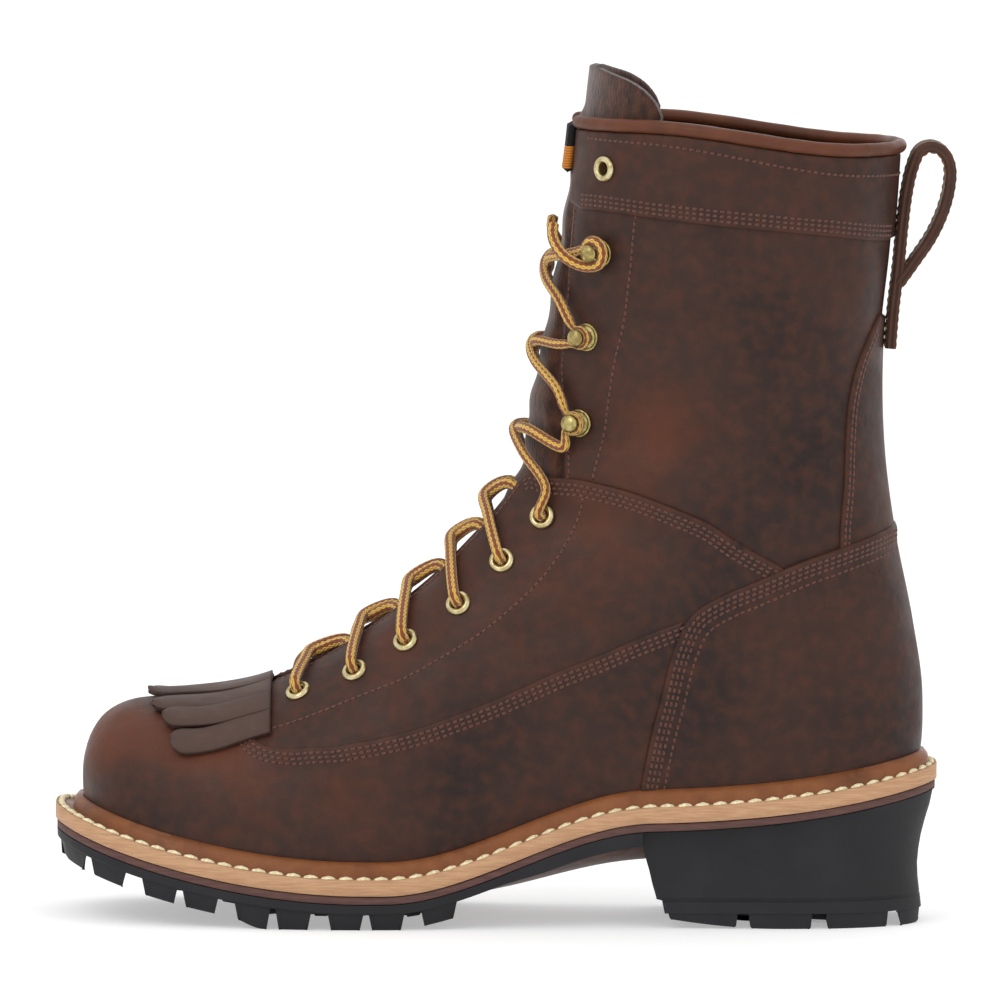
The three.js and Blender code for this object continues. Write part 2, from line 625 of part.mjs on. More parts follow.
const MIDSOLE_TOP = WELT_WALL + 1.5 * GAP;
const RUBBER_TOP = MIDSOLE_TOP + MIDSOLE_WALL + GAP;
const OUTSOLE_TOP = RUBBER_TOP + RUBBER_WALL + GAP;
const under = (depth) => (x) => weltTop(x) - depth;

// Welt: a shelf for the stitches and a bead that stands against the upper
function welt() {
  const section = [
    [-WELT_SHELF - BEAD_WIDTH, -WELT_WALL], [0, -WELT_WALL], [0, 0], [-WELT_SHELF + BEAD_WIDTH * 1.1, 0],
    [-WELT_SHELF + BEAD_WIDTH * 0.9, BEAD_HEIGHT * 0.8], [-WELT_SHELF + BEAD_WIDTH * 0.4, BEAD_HEIGHT],
    [-WELT_SHELF - BEAD_WIDTH, BEAD_HEIGHT],
  ];
  const rings = evenFeather.map((point, i) => section.map(([reach, height]) => {
    const shelf = reach > -1 ? shelfAt(point.x) + reach : WELT_SHELF + reach;
    const ground = point.clone().addScaledVector(featherOut[i], outwardSign * shelf);
    return ground.setZ(weltTop(ground.x) + height);
  }));
  return loft(rings, { loop: true }).subtract(lastForm(GAP)).subtract(counterAtWelt);
}

const leatherMidsole = () => soleLayer(soleOutline(0), under(MIDSOLE_TOP + MIDSOLE_WALL), under(MIDSOLE_TOP));
const rubberMidsole = () => soleLayer(soleOutline(SOLE_INSET), under(RUBBER_TOP + RUBBER_WALL), under(RUBBER_TOP));

// Outsole: a base from the toe to the heel's breast, with side lugs and a row of centre lugs
const BREAST_FOOT = along(0.695);
const OUTSOLE_END = along(0.6635);
const LUGS_END = along(0.492);
const FIRST_GROOVE = along(0.011);
const WAIST_WALL = 1.6;
const FLAT_FROM = along(0.222);
const FLAT_TO = along(0.376);
const baseUnder = (x) => weltTop(x) - OUTSOLE_TOP - OUTSOLE_WALL
  - WAIST_WALL * smoothStep((x - LUGS_END) / (OUTSOLE_END - LUGS_END) / 0.4);

// Length over which the lugs leave the floor
const LUG_LIFT = 12;

// The lugs reach the floor in the middle of the forefoot and follow the sole before and behind it
function lugUnder(x) {
  const free = weltTop(x) - SOLE_STACK;
  const off = Math.max(0, (FLAT_FROM - x) / LUG_LIFT, (x - FLAT_TO) / LUG_LIFT);
  return free * smoothStep(off);
}

const boxAt = (centre, size, turn = 0) => {
  const geometry = new THREE.BoxGeometry(...size);
  geometry.rotateZ(turn);
  geometry.translate(...centre);
  return solidOf(geometry);
};

// Groove across the sole from one side, wider towards the floor
function groove(x, width, side, reach, low, high) {
  const rings = [100, reach].map((y) =>
    [[-width / 2 - GROOVE_DRAFT, low], [width / 2 + GROOVE_DRAFT, low], [width / 2 - GROOVE_DRAFT, high],
      [GROOVE_DRAFT - width / 2, high]].map(([dx, z]) => new THREE.Vector3(x + dx, side * y, z)));
  return loft(rings);
}

// Star lug in the middle of the forefoot
function starLug(x, y, turn) {
  const arm = [CENTRE_LUG, CENTRE_LUG / 3, TALL];
  return boxAt([x, y, 0], arm, turn).add(boxAt([x, y, 0], arm, turn + Math.PI / 2));
}

function outsole() {
  const behind = (x) => boxAt([x + TALL / 2, 0, 0], [TALL, TALL, TALL]);
  const base = soleLayer(soleOutline(SOLE_INSET), baseUnder, under(OUTSOLE_TOP)).subtract(behind(OUTSOLE_END));
  const lugOutline = soleOutline(SOLE_INSET + LUG_INSET);
  const intoBase = (x) => baseUnder(x) + LUG_ROOT;
  let lugs = soleLayer(lugOutline, lugUnder, intoBase).subtract(behind(LUGS_END)).subtract(lugChannel(lugOutline));
  const count = Math.floor((LUGS_END - FIRST_GROOVE) / LUG_PITCH) + 1;
  const places = Array.from({ length: count }, (_, i) => FIRST_GROOVE + i * LUG_PITCH);
  places.forEach((x, i) => {
    const width = i % 2 ? WIDE_GROOVE : NARROW_GROOVE;
    const half = halfWidthAt(lugOutline, x);
    [-1, 1].forEach((side) => {
      const reach = Math.max(2, (side < 0 ? half.outer : half.inner) - SIDE_LUG_REACH - 2);
      lugs = lugs.subtract(groove(x, width, side, reach, lugUnder(x) - 3, baseUnder(x) + 3));
    });
  });
  const stars = places.slice(2, -1).map((x, i) => {
    const half = halfWidthAt(lugOutline, x);
    return starLug(x, (half.inner - half.outer) / 2, i % 2 ? 0 : Math.PI / 4);
  });
  const centre = stars.reduce((all, star) => all.add(star)).intersect(slab(lugUnder, intoBase));
  return base.add(lugs).add(centre);
}

// Half widths of an outline at a place along the boot
function halfWidthAt(outline, x) {
  const crossings = outline.flatMap((p, i) => {
    const q = outline[(i + 1) % outline.length];
    return (p.x - x) * (q.x - x) > 0 || p.x === q.x ? [] : [p.y + ((q.y - p.y) * (x - p.x)) / (q.x - p.x)];
  });
  return { outer: -Math.min(...crossings, 0), inner: Math.max(...crossings, 0) };
}

// Channel between the side lugs
function lugChannel(outline) {
  const rings = [];
  const steps = 12;
  const [from, to] = [along(0.055), LUGS_END + 20];
  for (let i = 0; i <= steps; i += 1) {
    const x = from + ((to - from) * i) / steps;
    const half = halfWidthAt(outline, x);
    const [low, high] = [Math.min(-4, SIDE_LUG_REACH - half.outer), Math.max(4, half.inner - SIDE_LUG_REACH)];
    rings.push([[low, -5], [high, -5], [high, 60], [low, 60]].map(([y, z]) => new THREE.Vector3(x, y, z)));
  }
  return loft(rings);
}

// Heel: levels from the floor up, with the place of the breast and how far its wall is drawn in
const HEEL_LEVELS = [
  { height: 0, breast: 0.697, draw: 0.95 },
  { height: 1.6, breast: 0.697, draw: 0.66 },
  { height: 10, breast: 0.690, draw: 0.82 },
  { height: 10.6, breast: 0.683, draw: 0.86 },
  { height: 21, breast: 0.674, draw: 1.0 },
  { height: 31, breast: 0.665, draw: 0.80 },
  { height: 42, breast: 0.665, draw: 0.30 },
  { height: 58, breast: 0.665, draw: 0.0 },
];
const HEEL_NOTCHES = [0.786, 0.876, 0.965];
const HEEL_NOTCH_WIDTH = 5;
const HEEL_BEVEL = 3.6;

function heel() {
  const outline = soleOutline(SOLE_INSET);
  const rings = HEEL_LEVELS.map(({ height, breast, draw }) => {
    const breastX = along(breast);
    const steps = 15;
    const drawn = soleOutline(SOLE_INSET + HEEL_TAPER * draw);
    const backX = Math.max(...drawn.map((p) => p.x));
    const stations = Array.from({ length: steps + 1 }, (_, i) =>
      breastX + (backX - 0.02 - breastX) * Math.sin((Math.PI / 2) * (i / steps)));
    const outerSide = stations.map((x) => new THREE.Vector3(x, -halfWidthAt(drawn, x).outer, height));
    const innerSide = stations.map((x) => new THREE.Vector3(x, halfWidthAt(drawn, x).inner, height)).reverse();
    return [...outerSide, ...innerSide];
  });
  const bevel = (x) => HEEL_BEVEL * Math.min(1, Math.max(0, (along(0.833) - x) / (along(0.833) - BREAST_FOOT))) ** 2;
  let block = loft(rings).intersect(slab(bevel, under(OUTSOLE_TOP)));
  HEEL_NOTCHES.forEach((share, i) => {
    const x = along(share);
    const half = halfWidthAt(outline, x);
    [-1, 1].forEach((side) => {
      const reach = (side < 0 ? half.outer : half.inner) - HEEL_TAPER - HEEL_NOTCH_REACH;
      const width = HEEL_NOTCH_WIDTH - (i % 2 ? 0 : 1);
      block = block.subtract(groove(x, width, side, Math.max(4, reach), -3, HEEL_NOTCH_DEPTH));
    });
  });
  return block;
}

// Fringe: a root in front of the facings with strips that lie forward over the vamp
const FRINGE_ROOT = 6.6;
const FRINGE_SPREAD = 0.86;
const FRINGE_TIPS = [4.95, 4.75, 4.5, 4.38, 4.38, 4.5, 4.75, 4.95];

function fringeStrip(from, to, tip, low) {
  const middle = (from + to) / 2;
  const rings = [0, 0.45, 0.8, 0.95, 1].map((share) => {
    const place = FRINGE_ROOT + (tip - FRINGE_ROOT) * share;
    const round = share < 0.7 ? 1 : Math.sqrt(Math.max(0.09, 1 - ((share - 0.7) / 0.3) ** 2));
    const half = ((to - from) / 2) * round * (0.97 + 0.12 * share);
    const lift = low + FRINGE_LIFT * share * share;
    return [[middle - half, lift], [middle + half, lift], [middle + half, lift + FRINGE_WALL],
      [middle - half, lift + FRINGE_WALL]]
      .map(([turn, offset]) => skinPoint(place, turn > Math.PI ? turn - 2 * Math.PI : turn, offset));
  });
  return loft(rings);
}

function fringe() {
  const start = Math.PI - FRINGE_SPREAD;
  const width = (2 * FRINGE_SPREAD) / FRINGE_TIPS.length;
  const strips = FRINGE_TIPS.map((tip, i) =>
    fringeStrip(start + i * width, start + (i + 1) * width, tip, 2 * GAP + (i % 2) * 0.5));
  const root = layer(2 * GAP, FRINGE_WALL + 2 * GAP)
    .intersect(sidePrism([[along(0.172), TALL / 2], [along(0.172), levelHeight(along(0.172), 0.35)],
      [facingFront - 3 * GAP, levelHeight(facingFront, 0.39)], [facingFront - 3 * GAP, TALL / 2]]));
  const behind = boxAt([facingFront - 3 * GAP + 100, 0, 100], [200, 200, 200]);
  return strips.reduce((all, strip) => all.add(strip), root).subtract(behind);
}

// Pull loop: a strip of leather up the back, folded over at the top and sewn down on itself.
// Rows: how far out, share of LOOP_REACH; how high, share of LOOP_HEIGHT.
const LOOP_PATH = [
  [0.00, 0.00], [0.00, 0.20], [0.00, 0.40], [0.00, 0.60], [0.04, 0.78], [0.12, 0.90], [0.25, 0.98],
  [0.48, 1.00], [0.72, 0.97], [0.86, 0.90], [0.87, 0.80], [0.78, 0.68], [0.58, 0.55], [0.30, 0.43], [0.04, 0.32],
];
const LOOP_FOLD = 7;

// X of the boot's back line at a height
function backAt(z) {
  let [low, high] = [LAST_ROW - 9, LAST_ROW];
  for (let i = 0; i < 24; i += 1) {
    const place = (low + high) / 2;
    if (lastPoint(place, 0).z < z) low = place;
    else high = place;
  }
  return lastPoint(low, 0).x;
}

// Flat strip along a path of the side view
function strip(points, wall, width) {
  const curve = new THREE.CatmullRomCurve3(points, false, 'centripetal');
  const steps = (points.length - 1) * 2;
  const rings = Array.from({ length: steps + 1 }, (_, i) => {
    const middle = curve.getPoint(i / steps);
    const tangent = curve.getTangent(i / steps);
    const out = new THREE.Vector3(tangent.z, 0, -tangent.x).multiplyScalar(wall / 2);
    const across = new THREE.Vector3(0, width / 2, 0);
    return [[1, 1], [1, -1], [-1, -1], [-1, 1]].map(([o, w]) =>
      middle.clone().addScaledVector(out, o).addScaledVector(across, w));
  });
  return loft(rings);
}

function pullLoop() {
  const topZ = collarHeight(along(0.966)) - LOOP_TOP_DROP;
  const points = LOOP_PATH.map(([out, up]) => {
    const z = topZ - LOOP_HEIGHT * (1 - up);
    const x = backAt(z) + GAP + LOOP_WALL / 2 + out * LOOP_REACH;
    return new THREE.Vector3(x, 0, z);
  });
  const up = strip(points.slice(0, LOOP_FOLD + 1), LOOP_WALL, LOOP_WIDTH);
  const down = strip(points.slice(LOOP_FOLD - 1), LOOP_WALL, LOOP_WIDTH);
  return up.add(down);
}

// Eyelets and hooks: radius and height of each turn of their profiles
const EYELET_PROFILE = [
  [EYELET_HOLE, 0], [EYELET_RADIUS, 0], [EYELET_RADIUS * 0.85, EYELET_HEIGHT], [EYELET_HOLE, EYELET_HEIGHT],
];
const HOOK_PROFILE = [
  [0, 0], [HOOK_BASE_RADIUS, 0], [HOOK_BASE_RADIUS, HOOK_BASE_HEIGHT], [HOOK_NECK_RADIUS, 2 * HOOK_BASE_HEIGHT],
  [HOOK_NECK_RADIUS, HOOK_NECK_HEIGHT], [HOOK_HEAD_RADIUS, HOOK_NECK_HEIGHT + HOOK_HEAD_HEIGHT * 0.2],
  [HOOK_HEAD_RADIUS * 0.7, HOOK_NECK_HEIGHT + HOOK_HEAD_HEIGHT], [0, HOOK_NECK_HEIGHT + HOOK_HEAD_HEIGHT],
];
const HOOK_SEAT = SHELL_OUT + GAP;
const LACE_OVER_EYELET = 3 * GAP + EYELET_HEIGHT + LACE_WIDTH / 2;
const LACE_ON_NECK = HOOK_SEAT + 3.7;
const LACE_IN_GAP = SHELL_IN + LACE_WIDTH / 2 + GAP;
const LACE_AT_CROSSING = 3.6;
const THROAT_WIDE = 12;

// Directions at a hook: forward to the throat, up the shaft and out of the leather
function hookFrame(site) {
  const up = lastPoint(site.place + 0.1, site.turn).sub(lastPoint(site.place - 0.1, site.turn)).normalize();
  const front = up.clone().cross(site.out);
  if (front.x > 0) front.negate();
  return { front, up };
}

function beside(site, forward, upward, outward) {
  const { front, up } = hookFrame(site);
  return site.foot.clone().addScaledVector(front, forward).addScaledVector(up, upward)
    .addScaledVector(site.out, outward);
}

function cord(points, steps) {
  const curve = new THREE.CatmullRomCurve3(points, false, 'centripetal');
  const radius = LACE_WIDTH / 2;
  const ring = Array.from({ length: LACE_SIDES }, (_, i) => {
    const angle = (2 * Math.PI * (i + 0.5)) / LACE_SIDES;
    return new THREE.Vector2(radius * Math.cos(angle), radius * Math.sin(angle));
  });
  return solidOf(new THREE.ExtrudeGeometry(new THREE.Shape(ring), { steps, extrudePath: curve }));
}

const siteOf = (number, side) => hardwareSites.find((site) => site.number === number && site.side === side);

// Where a lace runs at a place of the last: distance off the centre line and over the surface
const laceOver = (place, across, offset) => skinPoint(place, turnAcross(place, across), offset);

// One strand from a site to the next one on the other side
function strandPoints(number, side) {
  const from = siteOf(number, side);
  const to = siteOf(number + 1, -side);
  const at = (share) => from.place + (to.place - from.place) * share;
  const beyond = (share) => side * (throatHalf(at(share)) + 2);
  const points = from.kind === 'eyelet'
    ? [beside(from, 0, 0, LACE_OVER_EYELET), laceOver(at(0.25), -beyond(0.25), LACE_AT_CROSSING + 0.6)]
    : [beside(from, 3.3, 3.3, LACE_ON_NECK), laceOver(at(0.25), -beyond(0.25), LACE_AT_CROSSING)];
  const wide = throatHalf(at(0.5)) > THROAT_WIDE;
  const over = (share, way) => laceOver(at(share), way * throatHalf(at(share)) * 0.55, LACE_AT_CROSSING + 0.5);
  if (wide) points.push(over(0.37, -side));
  points.push(laceOver(at(0.5), 0, LACE_AT_CROSSING));
  if (wide) points.push(over(0.63, side));
  if (to.kind === 'eyelet') {
    const inside = throatHalf(at(0.86)) - LACE_WIDTH / 2 - 3 * GAP;
    points.push(laceOver(at(0.86), side * inside, LACE_IN_GAP + GAP));
  } else {
    const last = number + 1 === LACED_SITES;
    points.push(laceOver(at(0.75), beyond(0.75), LACE_AT_CROSSING));
    points.push(beside(to, last ? 4.4 : 3.3, last ? 1.2 : -3.3, LACE_ON_NECK));
  }
  return points;
}

const laceCross = (number) => cord(strandPoints(number, 1), LACE_STEPS).add(cord(strandPoints(number, -1), LACE_STEPS));

// Lace end: once round the top hook, over its own strand and back behind the facing's edge.
// Rows: millimetres forward, up and out from the hook's foot.
const LACE_END = [
  [3.5, 2.3, 2.6], [2.2, 3.9, 2.6], [-0.5, 4.4, 2.6], [-3.4, 2.9, 2.6], [-4.4, 0, 2.6], [-3.3, -3, 2.6],
  [-0.4, -4.4, 2.8], [3.6, -4.6, 4.6], [8, -2.6, 7.4], [12.5, 0.6, 7.8], [16.5, 4.4, 6.2], [18, 8.4, 4.4],
];
const laceEnd = (side) => cord(LACE_END.map((row) => beside(siteOf(LACED_SITES, side), ...row)), 2 * LACE_STEPS);

const group = new THREE.Group();
function addPiece(name, solid, material) {
  const mesh = new THREE.Mesh(geometryOf(solid), material);
  mesh.name = name;
  group.add(mesh);
}

addPiece('outsole', outsole(), BLACK_RUBBER());
addPiece('heel', heel(), BLACK_RUBBER());
addPiece('rubber_midsole', rubberMidsole(), BROWN_RUBBER());
addPiece('leather_midsole', leatherMidsole(), TAN_LEATHER());
addPiece('welt', welt(), WELT_LEATHER());
addPiece('insole', insole(), TAN_LEATHER());
addPiece('upper', upper(), LEATHER());
addPiece('quarter_outer', quarter(1), LEATHER());
addPiece('quarter_inner', quarter(-1), LEATHER());
addPiece('counter', counter(), LEATHER());
addPiece('backstay', backstay(), LEATHER());
addPiece('shaft_band', shaftBand(), LEATHER());
addPiece('collar_binding', collarBinding(), BINDING_LEATHER());
addPiece('tongue', tongue(), SUEDE());
addPiece('fringe', fringe(), FRINGE_LEATHER());
addPiece('pull_loop', pullLoop(), LEATHER());
hardwareSites.forEach((site) => {
  const name = `${site.kind}_${site.side > 0 ? 'outer' : 'inner'}_${site.number}`;
  if (site.kind === 'eyelet') addPiece(name, seated(EYELET_PROFILE, site, GAP), BRASS());
  else addPiece(name, seated(HOOK_PROFILE, site, HOOK_SEAT), BRASS());
});
for (let number = 1; number < LACED_SITES; number += 1) {
  addPiece(`lace_cross_${number}`, laceCross(number), LACE_YARN());
}
addPiece('lace_end_outer', laceEnd(1), LACE_YARN());
addPiece('lace_end_inner', laceEnd(-1), LACE_YARN());

// The boot stands centred on its origin. The laces' ends hang off it and are left out of its box.
const box = new THREE.Box3();
group.children.filter((mesh) => !mesh.name.startsWith('lace_end')).forEach((mesh) => box.expandByObject(mesh));
const centre = box.getCenter(new THREE.Vector3());
group.position.set(-centre.x, -centre.y, -box.min.z);

export default group;
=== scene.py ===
"""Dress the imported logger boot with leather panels, stitching, a lugged sole, metal parts and laces.

All shapes are worked out in millimetres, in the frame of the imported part.
A mesh is made in metres.
"""
import logging
import math
from dataclasses import dataclass, field
from enum import Enum
from typing import Callable, Sequence

import bpy
import numpy as np
from mathutils import Matrix, Vector
from mathutils.geometry import delaunay_2d_cdt


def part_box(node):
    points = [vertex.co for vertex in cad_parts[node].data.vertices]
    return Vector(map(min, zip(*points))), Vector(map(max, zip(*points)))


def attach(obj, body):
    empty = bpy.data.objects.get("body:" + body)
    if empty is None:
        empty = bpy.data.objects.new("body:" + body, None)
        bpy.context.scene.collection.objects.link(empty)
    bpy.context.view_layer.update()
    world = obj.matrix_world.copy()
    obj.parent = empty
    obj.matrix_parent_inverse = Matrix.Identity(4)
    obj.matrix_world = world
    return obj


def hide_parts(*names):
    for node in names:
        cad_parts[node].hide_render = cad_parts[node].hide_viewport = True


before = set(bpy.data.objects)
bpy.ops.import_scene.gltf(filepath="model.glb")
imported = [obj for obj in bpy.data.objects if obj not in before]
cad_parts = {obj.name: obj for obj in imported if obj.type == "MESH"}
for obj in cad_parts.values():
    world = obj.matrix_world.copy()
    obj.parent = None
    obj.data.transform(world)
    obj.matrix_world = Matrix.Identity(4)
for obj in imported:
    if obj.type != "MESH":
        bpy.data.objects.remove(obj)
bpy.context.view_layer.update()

MM = 0.001
TURN = 2 * math.pi
LOG = logging.getLogger("logger_boot")

Array = np.ndarray
Colour = tuple[int, int, int]
Rows = Sequence[Sequence[float]]
Socket = bpy.types.NodeSocket
# Mark for points well inside a piece, in millimetres from its edge.
FAR_INSIDE = 30.0


class Side(Enum):
    """Side of the foot, with the sign of the turn that lies on it."""

    OUTER = 1
    INNER = -1


@dataclass(frozen=True)
class LastSizes:
    """Driving sizes of the last and its sole, in millimetres."""

    length: float = 300.2
    ball_width: float = 100.0
    heel_width: float = 80.0
    collar_width: float = 104.0
    instep_rise: float = 134.0
    shaft_rise: float = 116.0
    collar_drop: float = 8.0
    toe_spring: float = 22.8
    heel_lift: float = 25.7
    heel_rake: float = 13.5
    gap: float = 0.3
    origin_share: float = 0.489


@dataclass(frozen=True)
class SoleSizes:
    """Thicknesses of the sole's layers and the spacing of its lugs, in millimetres."""

    shelf: float = 6.5
    toe_shelf: float = 3.5
    welt: float = 2.2
    bead_height: float = 6.0
    bead_width: float = 3.6
    leather: float = 2.9
    rubber: float = 2.6
    base: float = 3.4
    lug: float = 5.7
    inset: float = 0.5
    lug_inset: float = 1.2
    pitch: float = 16.5
    narrow: float = 4.0
    wide: float = 8.0
    lug_reach: float = 27.0
    heel_taper: float = 6.0
    notch_depth: float = 5.5
    notch_reach: float = 16.0
    waist: float = 1.6


@dataclass(frozen=True)
class LeatherSizes:
    """Levels of the leathers over the last's surface, and the lap at a seam, in millimetres."""

    shell_out: float = -1.4
    shell_in: float = -3.0
    lap_height: float = 0.9
    counter_lap: float = 1.3
    lap_width: float = 9.0
    tongue: float = 2.2
    binding_height: float = 4.8


BALL, HEEL, COLLAR = "ball_width", "heel_width", "collar_width"
# Sections of the last, toe to collar: topX, topRise, lowX, lowRise, the width they share,
# outer and inner share, how far up they are widest, how square the low and top ends are,
# and the toe's turn inwards.
SECTIONS = [
    (0.000, 0.095, 0.000, 0.095, BALL, 0.000, 0.000, 0.50, 2.2, 2.20, 0.055),
    (0.002, 0.152, 0.003, 0.016, BALL, 0.130, 0.135, 0.45, 2.3, 2.20, 0.055),
    (0.011, 0.220, 0.011, -0.015, BALL, 0.220, 0.220, 0.42, 2.4, 2.20, 0.055),
    (0.029, 0.285, 0.027, -0.040, BALL, 0.310, 0.300, 0.38, 2.5, 2.20, 0.055),
    (0.061, 0.341, 0.059, -0.062, BALL, 0.395, 0.370, 0.34, 2.7, 2.25, 0.050),
    (0.113, 0.385, 0.111, -0.083, BALL, 0.465, 0.430, 0.32, 2.8, 2.25, 0.045),
    (0.173, 0.432, 0.171, -0.099, BALL, 0.500, 0.465, 0.32, 2.8, 2.25, 0.035),
    (0.233, 0.492, 0.234, -0.104, BALL, 0.520, 0.480, 0.32, 2.8, 2.20, 0.025),
    (0.292, 0.574, 0.309, -0.111, BALL, 0.523, 0.475, 0.33, 2.8, 2.10, 0.010),
    (0.356, 0.678, 0.402, -0.125, BALL, 0.500, 0.445, 0.36, 2.7, 2.05, 0.000),
    (0.411, 0.774, 0.509, -0.156, BALL, 0.458, 0.398, 0.40, 2.6, 2.00, -0.008),
    (0.457, 0.861, 0.639, -0.187, HEEL, 0.529, 0.469, 0.42, 2.5, 2.00, -0.008),
    (0.489, 0.932, 0.789, -0.188, HEEL, 0.506, 0.475, 0.42, 2.5, 2.05, -0.004),
    (0.509, 1.000, 0.935, -0.206, HEEL, 0.498, 0.485, 0.42, 2.5, 2.10, 0.000),
    (0.521, 1.092, 0.990, -0.023, HEEL, 0.498, 0.491, 0.42, 2.4, 2.15, 0.000),
    (0.529, 1.204, 0.999, 0.182, HEEL, 0.504, 0.498, 0.42, 2.3, 2.20, 0.000),
    (0.540, 1.330, 0.986, 0.397, HEEL, 0.519, 0.512, 0.42, 2.2, 2.20, 0.000),
    (0.550, 1.475, 0.964, 0.647, HEEL, 0.541, 0.537, 0.42, 2.2, 2.25, 0.000),
    (0.561, 1.637, 0.950, 0.892, COLLAR, 0.438, 0.435, 0.43, 2.2, 2.30, 0.000),
    (0.569, 1.784, 0.948, 1.170, COLLAR, 0.459, 0.455, 0.44, 2.25, 2.30, 0.000),
    (0.575, 1.899, 0.959, 1.466, COLLAR, 0.479, 0.475, 0.45, 2.3, 2.30, 0.000),
    (0.579, 2.000, 0.966, 1.755, COLLAR, 0.495, 0.490, 0.46, 2.3, 2.30, 0.000),
    (0.583, 2.100, 0.970, 2.028, COLLAR, 0.505, 0.500, 0.46, 2.3, 2.30, 0.000),
    (0.588, 2.210, 0.972, 2.270, COLLAR, 0.512, 0.507, 0.46, 2.3, 2.30, 0.000),
]
# Half the width of the throat's opening: section, share of the ball width.
THROAT = [
    (6.75, 0.080), (8.75, 0.090), (10.75, 0.100), (12.75, 0.120), (13.25, 0.200), (13.75, 0.245),
    (14.25, 0.232), (15.25, 0.205), (15.75, 0.178), (17.25, 0.172), (18.75, 0.140), (20.75, 0.095),
    (23.0, 0.085),
]
# Seams seen from the side: station along the last, level over the sole.
VAMP_EDGE = [
    (0.222, 0.390), (0.211, 0.374), (0.205, 0.356), (0.208, 0.340), (0.221, 0.328), (0.239, 0.327),
    (0.264, 0.334),
    (0.321, 0.356), (0.380, 0.383), (0.438, 0.401), (0.497, 0.407), (0.556, 0.415), (0.614, 0.424),
    (0.661, 0.450),
    (0.712, 0.490),
]
VAMP_END = [(0.703, 0.402), (0.676, 0.179), (0.664, 0.02)]
QUARTER_TOP = [
    (0.519, 0.955), (0.527, 0.962), (0.540, 0.948), (0.548, 0.934), (0.589, 0.898), (0.613, 0.871),
    (0.672, 0.812),
    (0.707, 0.780), (0.742, 0.743), (0.778, 0.686), (0.819, 0.627), (0.835, 0.600),
]
QUARTER_BACK = [(0.703, 0.44), (0.726, 0.484), (0.758, 0.528), (0.805, 0.565), (0.838, 0.590)]
COUNTER_EDGE = [
    (0.663, 0.052), (0.674, 0.179), (0.686, 0.284), (0.699, 0.402), (0.720, 0.501),
    (0.755, 0.551), (0.802, 0.588), (0.849, 0.622), (0.908, 0.647), (0.961, 0.664),
]
BACKSTAY_EDGE = [
    (0.897, 0.640), (0.898, 0.700), (0.902, 0.800), (0.904, 0.925), (0.908, 1.034), (0.918, 1.135),
    (0.930, 1.203),
    (0.944, 1.270),
]
BAND_EDGE = [
    (0.586, 1.708), (0.657, 1.650), (0.727, 1.625), (0.797, 1.596), (0.880, 1.549), (0.953, 1.491),
]
FACING_FRONT = [(0.214, 0.460), (0.213, 0.430), (0.215, 0.390)]
FACING_TUCK = [(0.205, 0.378), (0.195, 0.352), (0.195, 0.320), (0.212, 0.293), (0.236, 0.288), (0.262, 0.292)]
QUARTER_ROW = [
    (.226, .372), (.235, .380), (.273, .418), (.320, .467), (.379, .520), (.438, .570), (.496, .614),
    (.543, .672),
    (.572, .739), (.587, .807), (.592, .851),
]
FACING_ROW = [
    (.603, .890), (.612, .990), (.623, 1.166), (.634, 1.314), (.643, 1.495), (.648, 1.646),
    (.656, 1.766), (.661, 1.935),
]
TONGUE_TOP = [(0.675, 1.953), (0.669, 1.987), (0.656, 2.028), (0.635, 2.071), (0.610, 2.110), (0.594, 2.138)]
# Lacing, bottom to top: kind, station, level.
LACING = [
    ("eyelet", 0.257, 0.471), ("eyelet", 0.324, 0.538), ("eyelet", 0.384, 0.617), ("eyelet", 0.446, 0.686),
    ("eyelet", 0.497, 0.759), ("eyelet", 0.544, 0.834), ("hook", 0.584, 1.057), ("hook", 0.592, 1.314),
    ("hook", 0.607, 1.561), ("eyelet", 0.614, 1.816),
]
LACED_SITES = 9
# Place at which the throat ends, and how far under the collar's edge its stitched leather stops.
THROAT_TOP = 21.3
UNDER_ROLL = 6.0
# Distances of the rows of stitches from an edge, in millimetres.
THREE_ROWS = (2.2, 3.9, 5.6)


def smooth_step(value: Array) -> Array:
    """Ease from 0 to 1 between 0 and 1."""
    t = np.clip(value, 0.0, 1.0)
    return t * t * (3 - 2 * t)


def unit(vectors: Array) -> Array:
    """Scale each vector to length one."""
    return vectors / np.maximum(np.linalg.norm(vectors, axis=-1, keepdims=True), 1e-9)


def spline(points: Rows, spacing: float, closed: bool = False) -> Array:
    """Run a smooth curve through points.

    Args:
        points: Points of any dimension.
        spacing: Distance between the points that come back.
        closed: Whether the curve ends where it starts.

    Returns:
        Points on the curve, one row each.
    """
    knots = np.asarray(points, float)
    if closed:
        knots = np.vstack([knots[-1], knots, knots[0], knots[1]])
    else:
        knots = np.vstack([2 * knots[0] - knots[1], knots, 2 * knots[-1] - knots[-2]])
    pieces = []
    for a, b, c, d in zip(knots, knots[1:], knots[2:], knots[3:]):
        gaps = [max(np.linalg.norm(q - p) ** 0.5, 1e-6) for p, q in ((a, b), (b, c), (c, d))]
        t1, t2, t3 = np.cumsum(gaps)
        t = np.linspace(t1, t2, 13)[:-1, None]
        first = a + (b - a) * t / t1
        second = b + (c - b) * (t - t1) / (t2 - t1)
        third = c + (d - c) * (t - t2) / (t3 - t2)
        left = first + (second - first) * t / t2
        right = second + (third - second) * (t - t1) / (t3 - t1)
        pieces.append(left + (right - left) * (t - t1) / (t2 - t1))
    end = knots[1:2] if closed else knots[-2:-1]
    return resample(np.vstack(pieces + [end]), spacing)


def resample(points: Array, spacing: float) -> Array:
    """Space the points of a line evenly, with its two ends kept."""
    steps = np.linalg.norm(np.diff(points, axis=0), axis=1)
    reach = np.concatenate([[0.0], np.cumsum(steps)])
    count = max(2, int(round(reach[-1] / spacing)) + 1)
    at = np.linspace(0, reach[-1], count)
    return np.stack([np.interp(at, reach, points[:, k]) for k in range(points.shape[1])], axis=1)


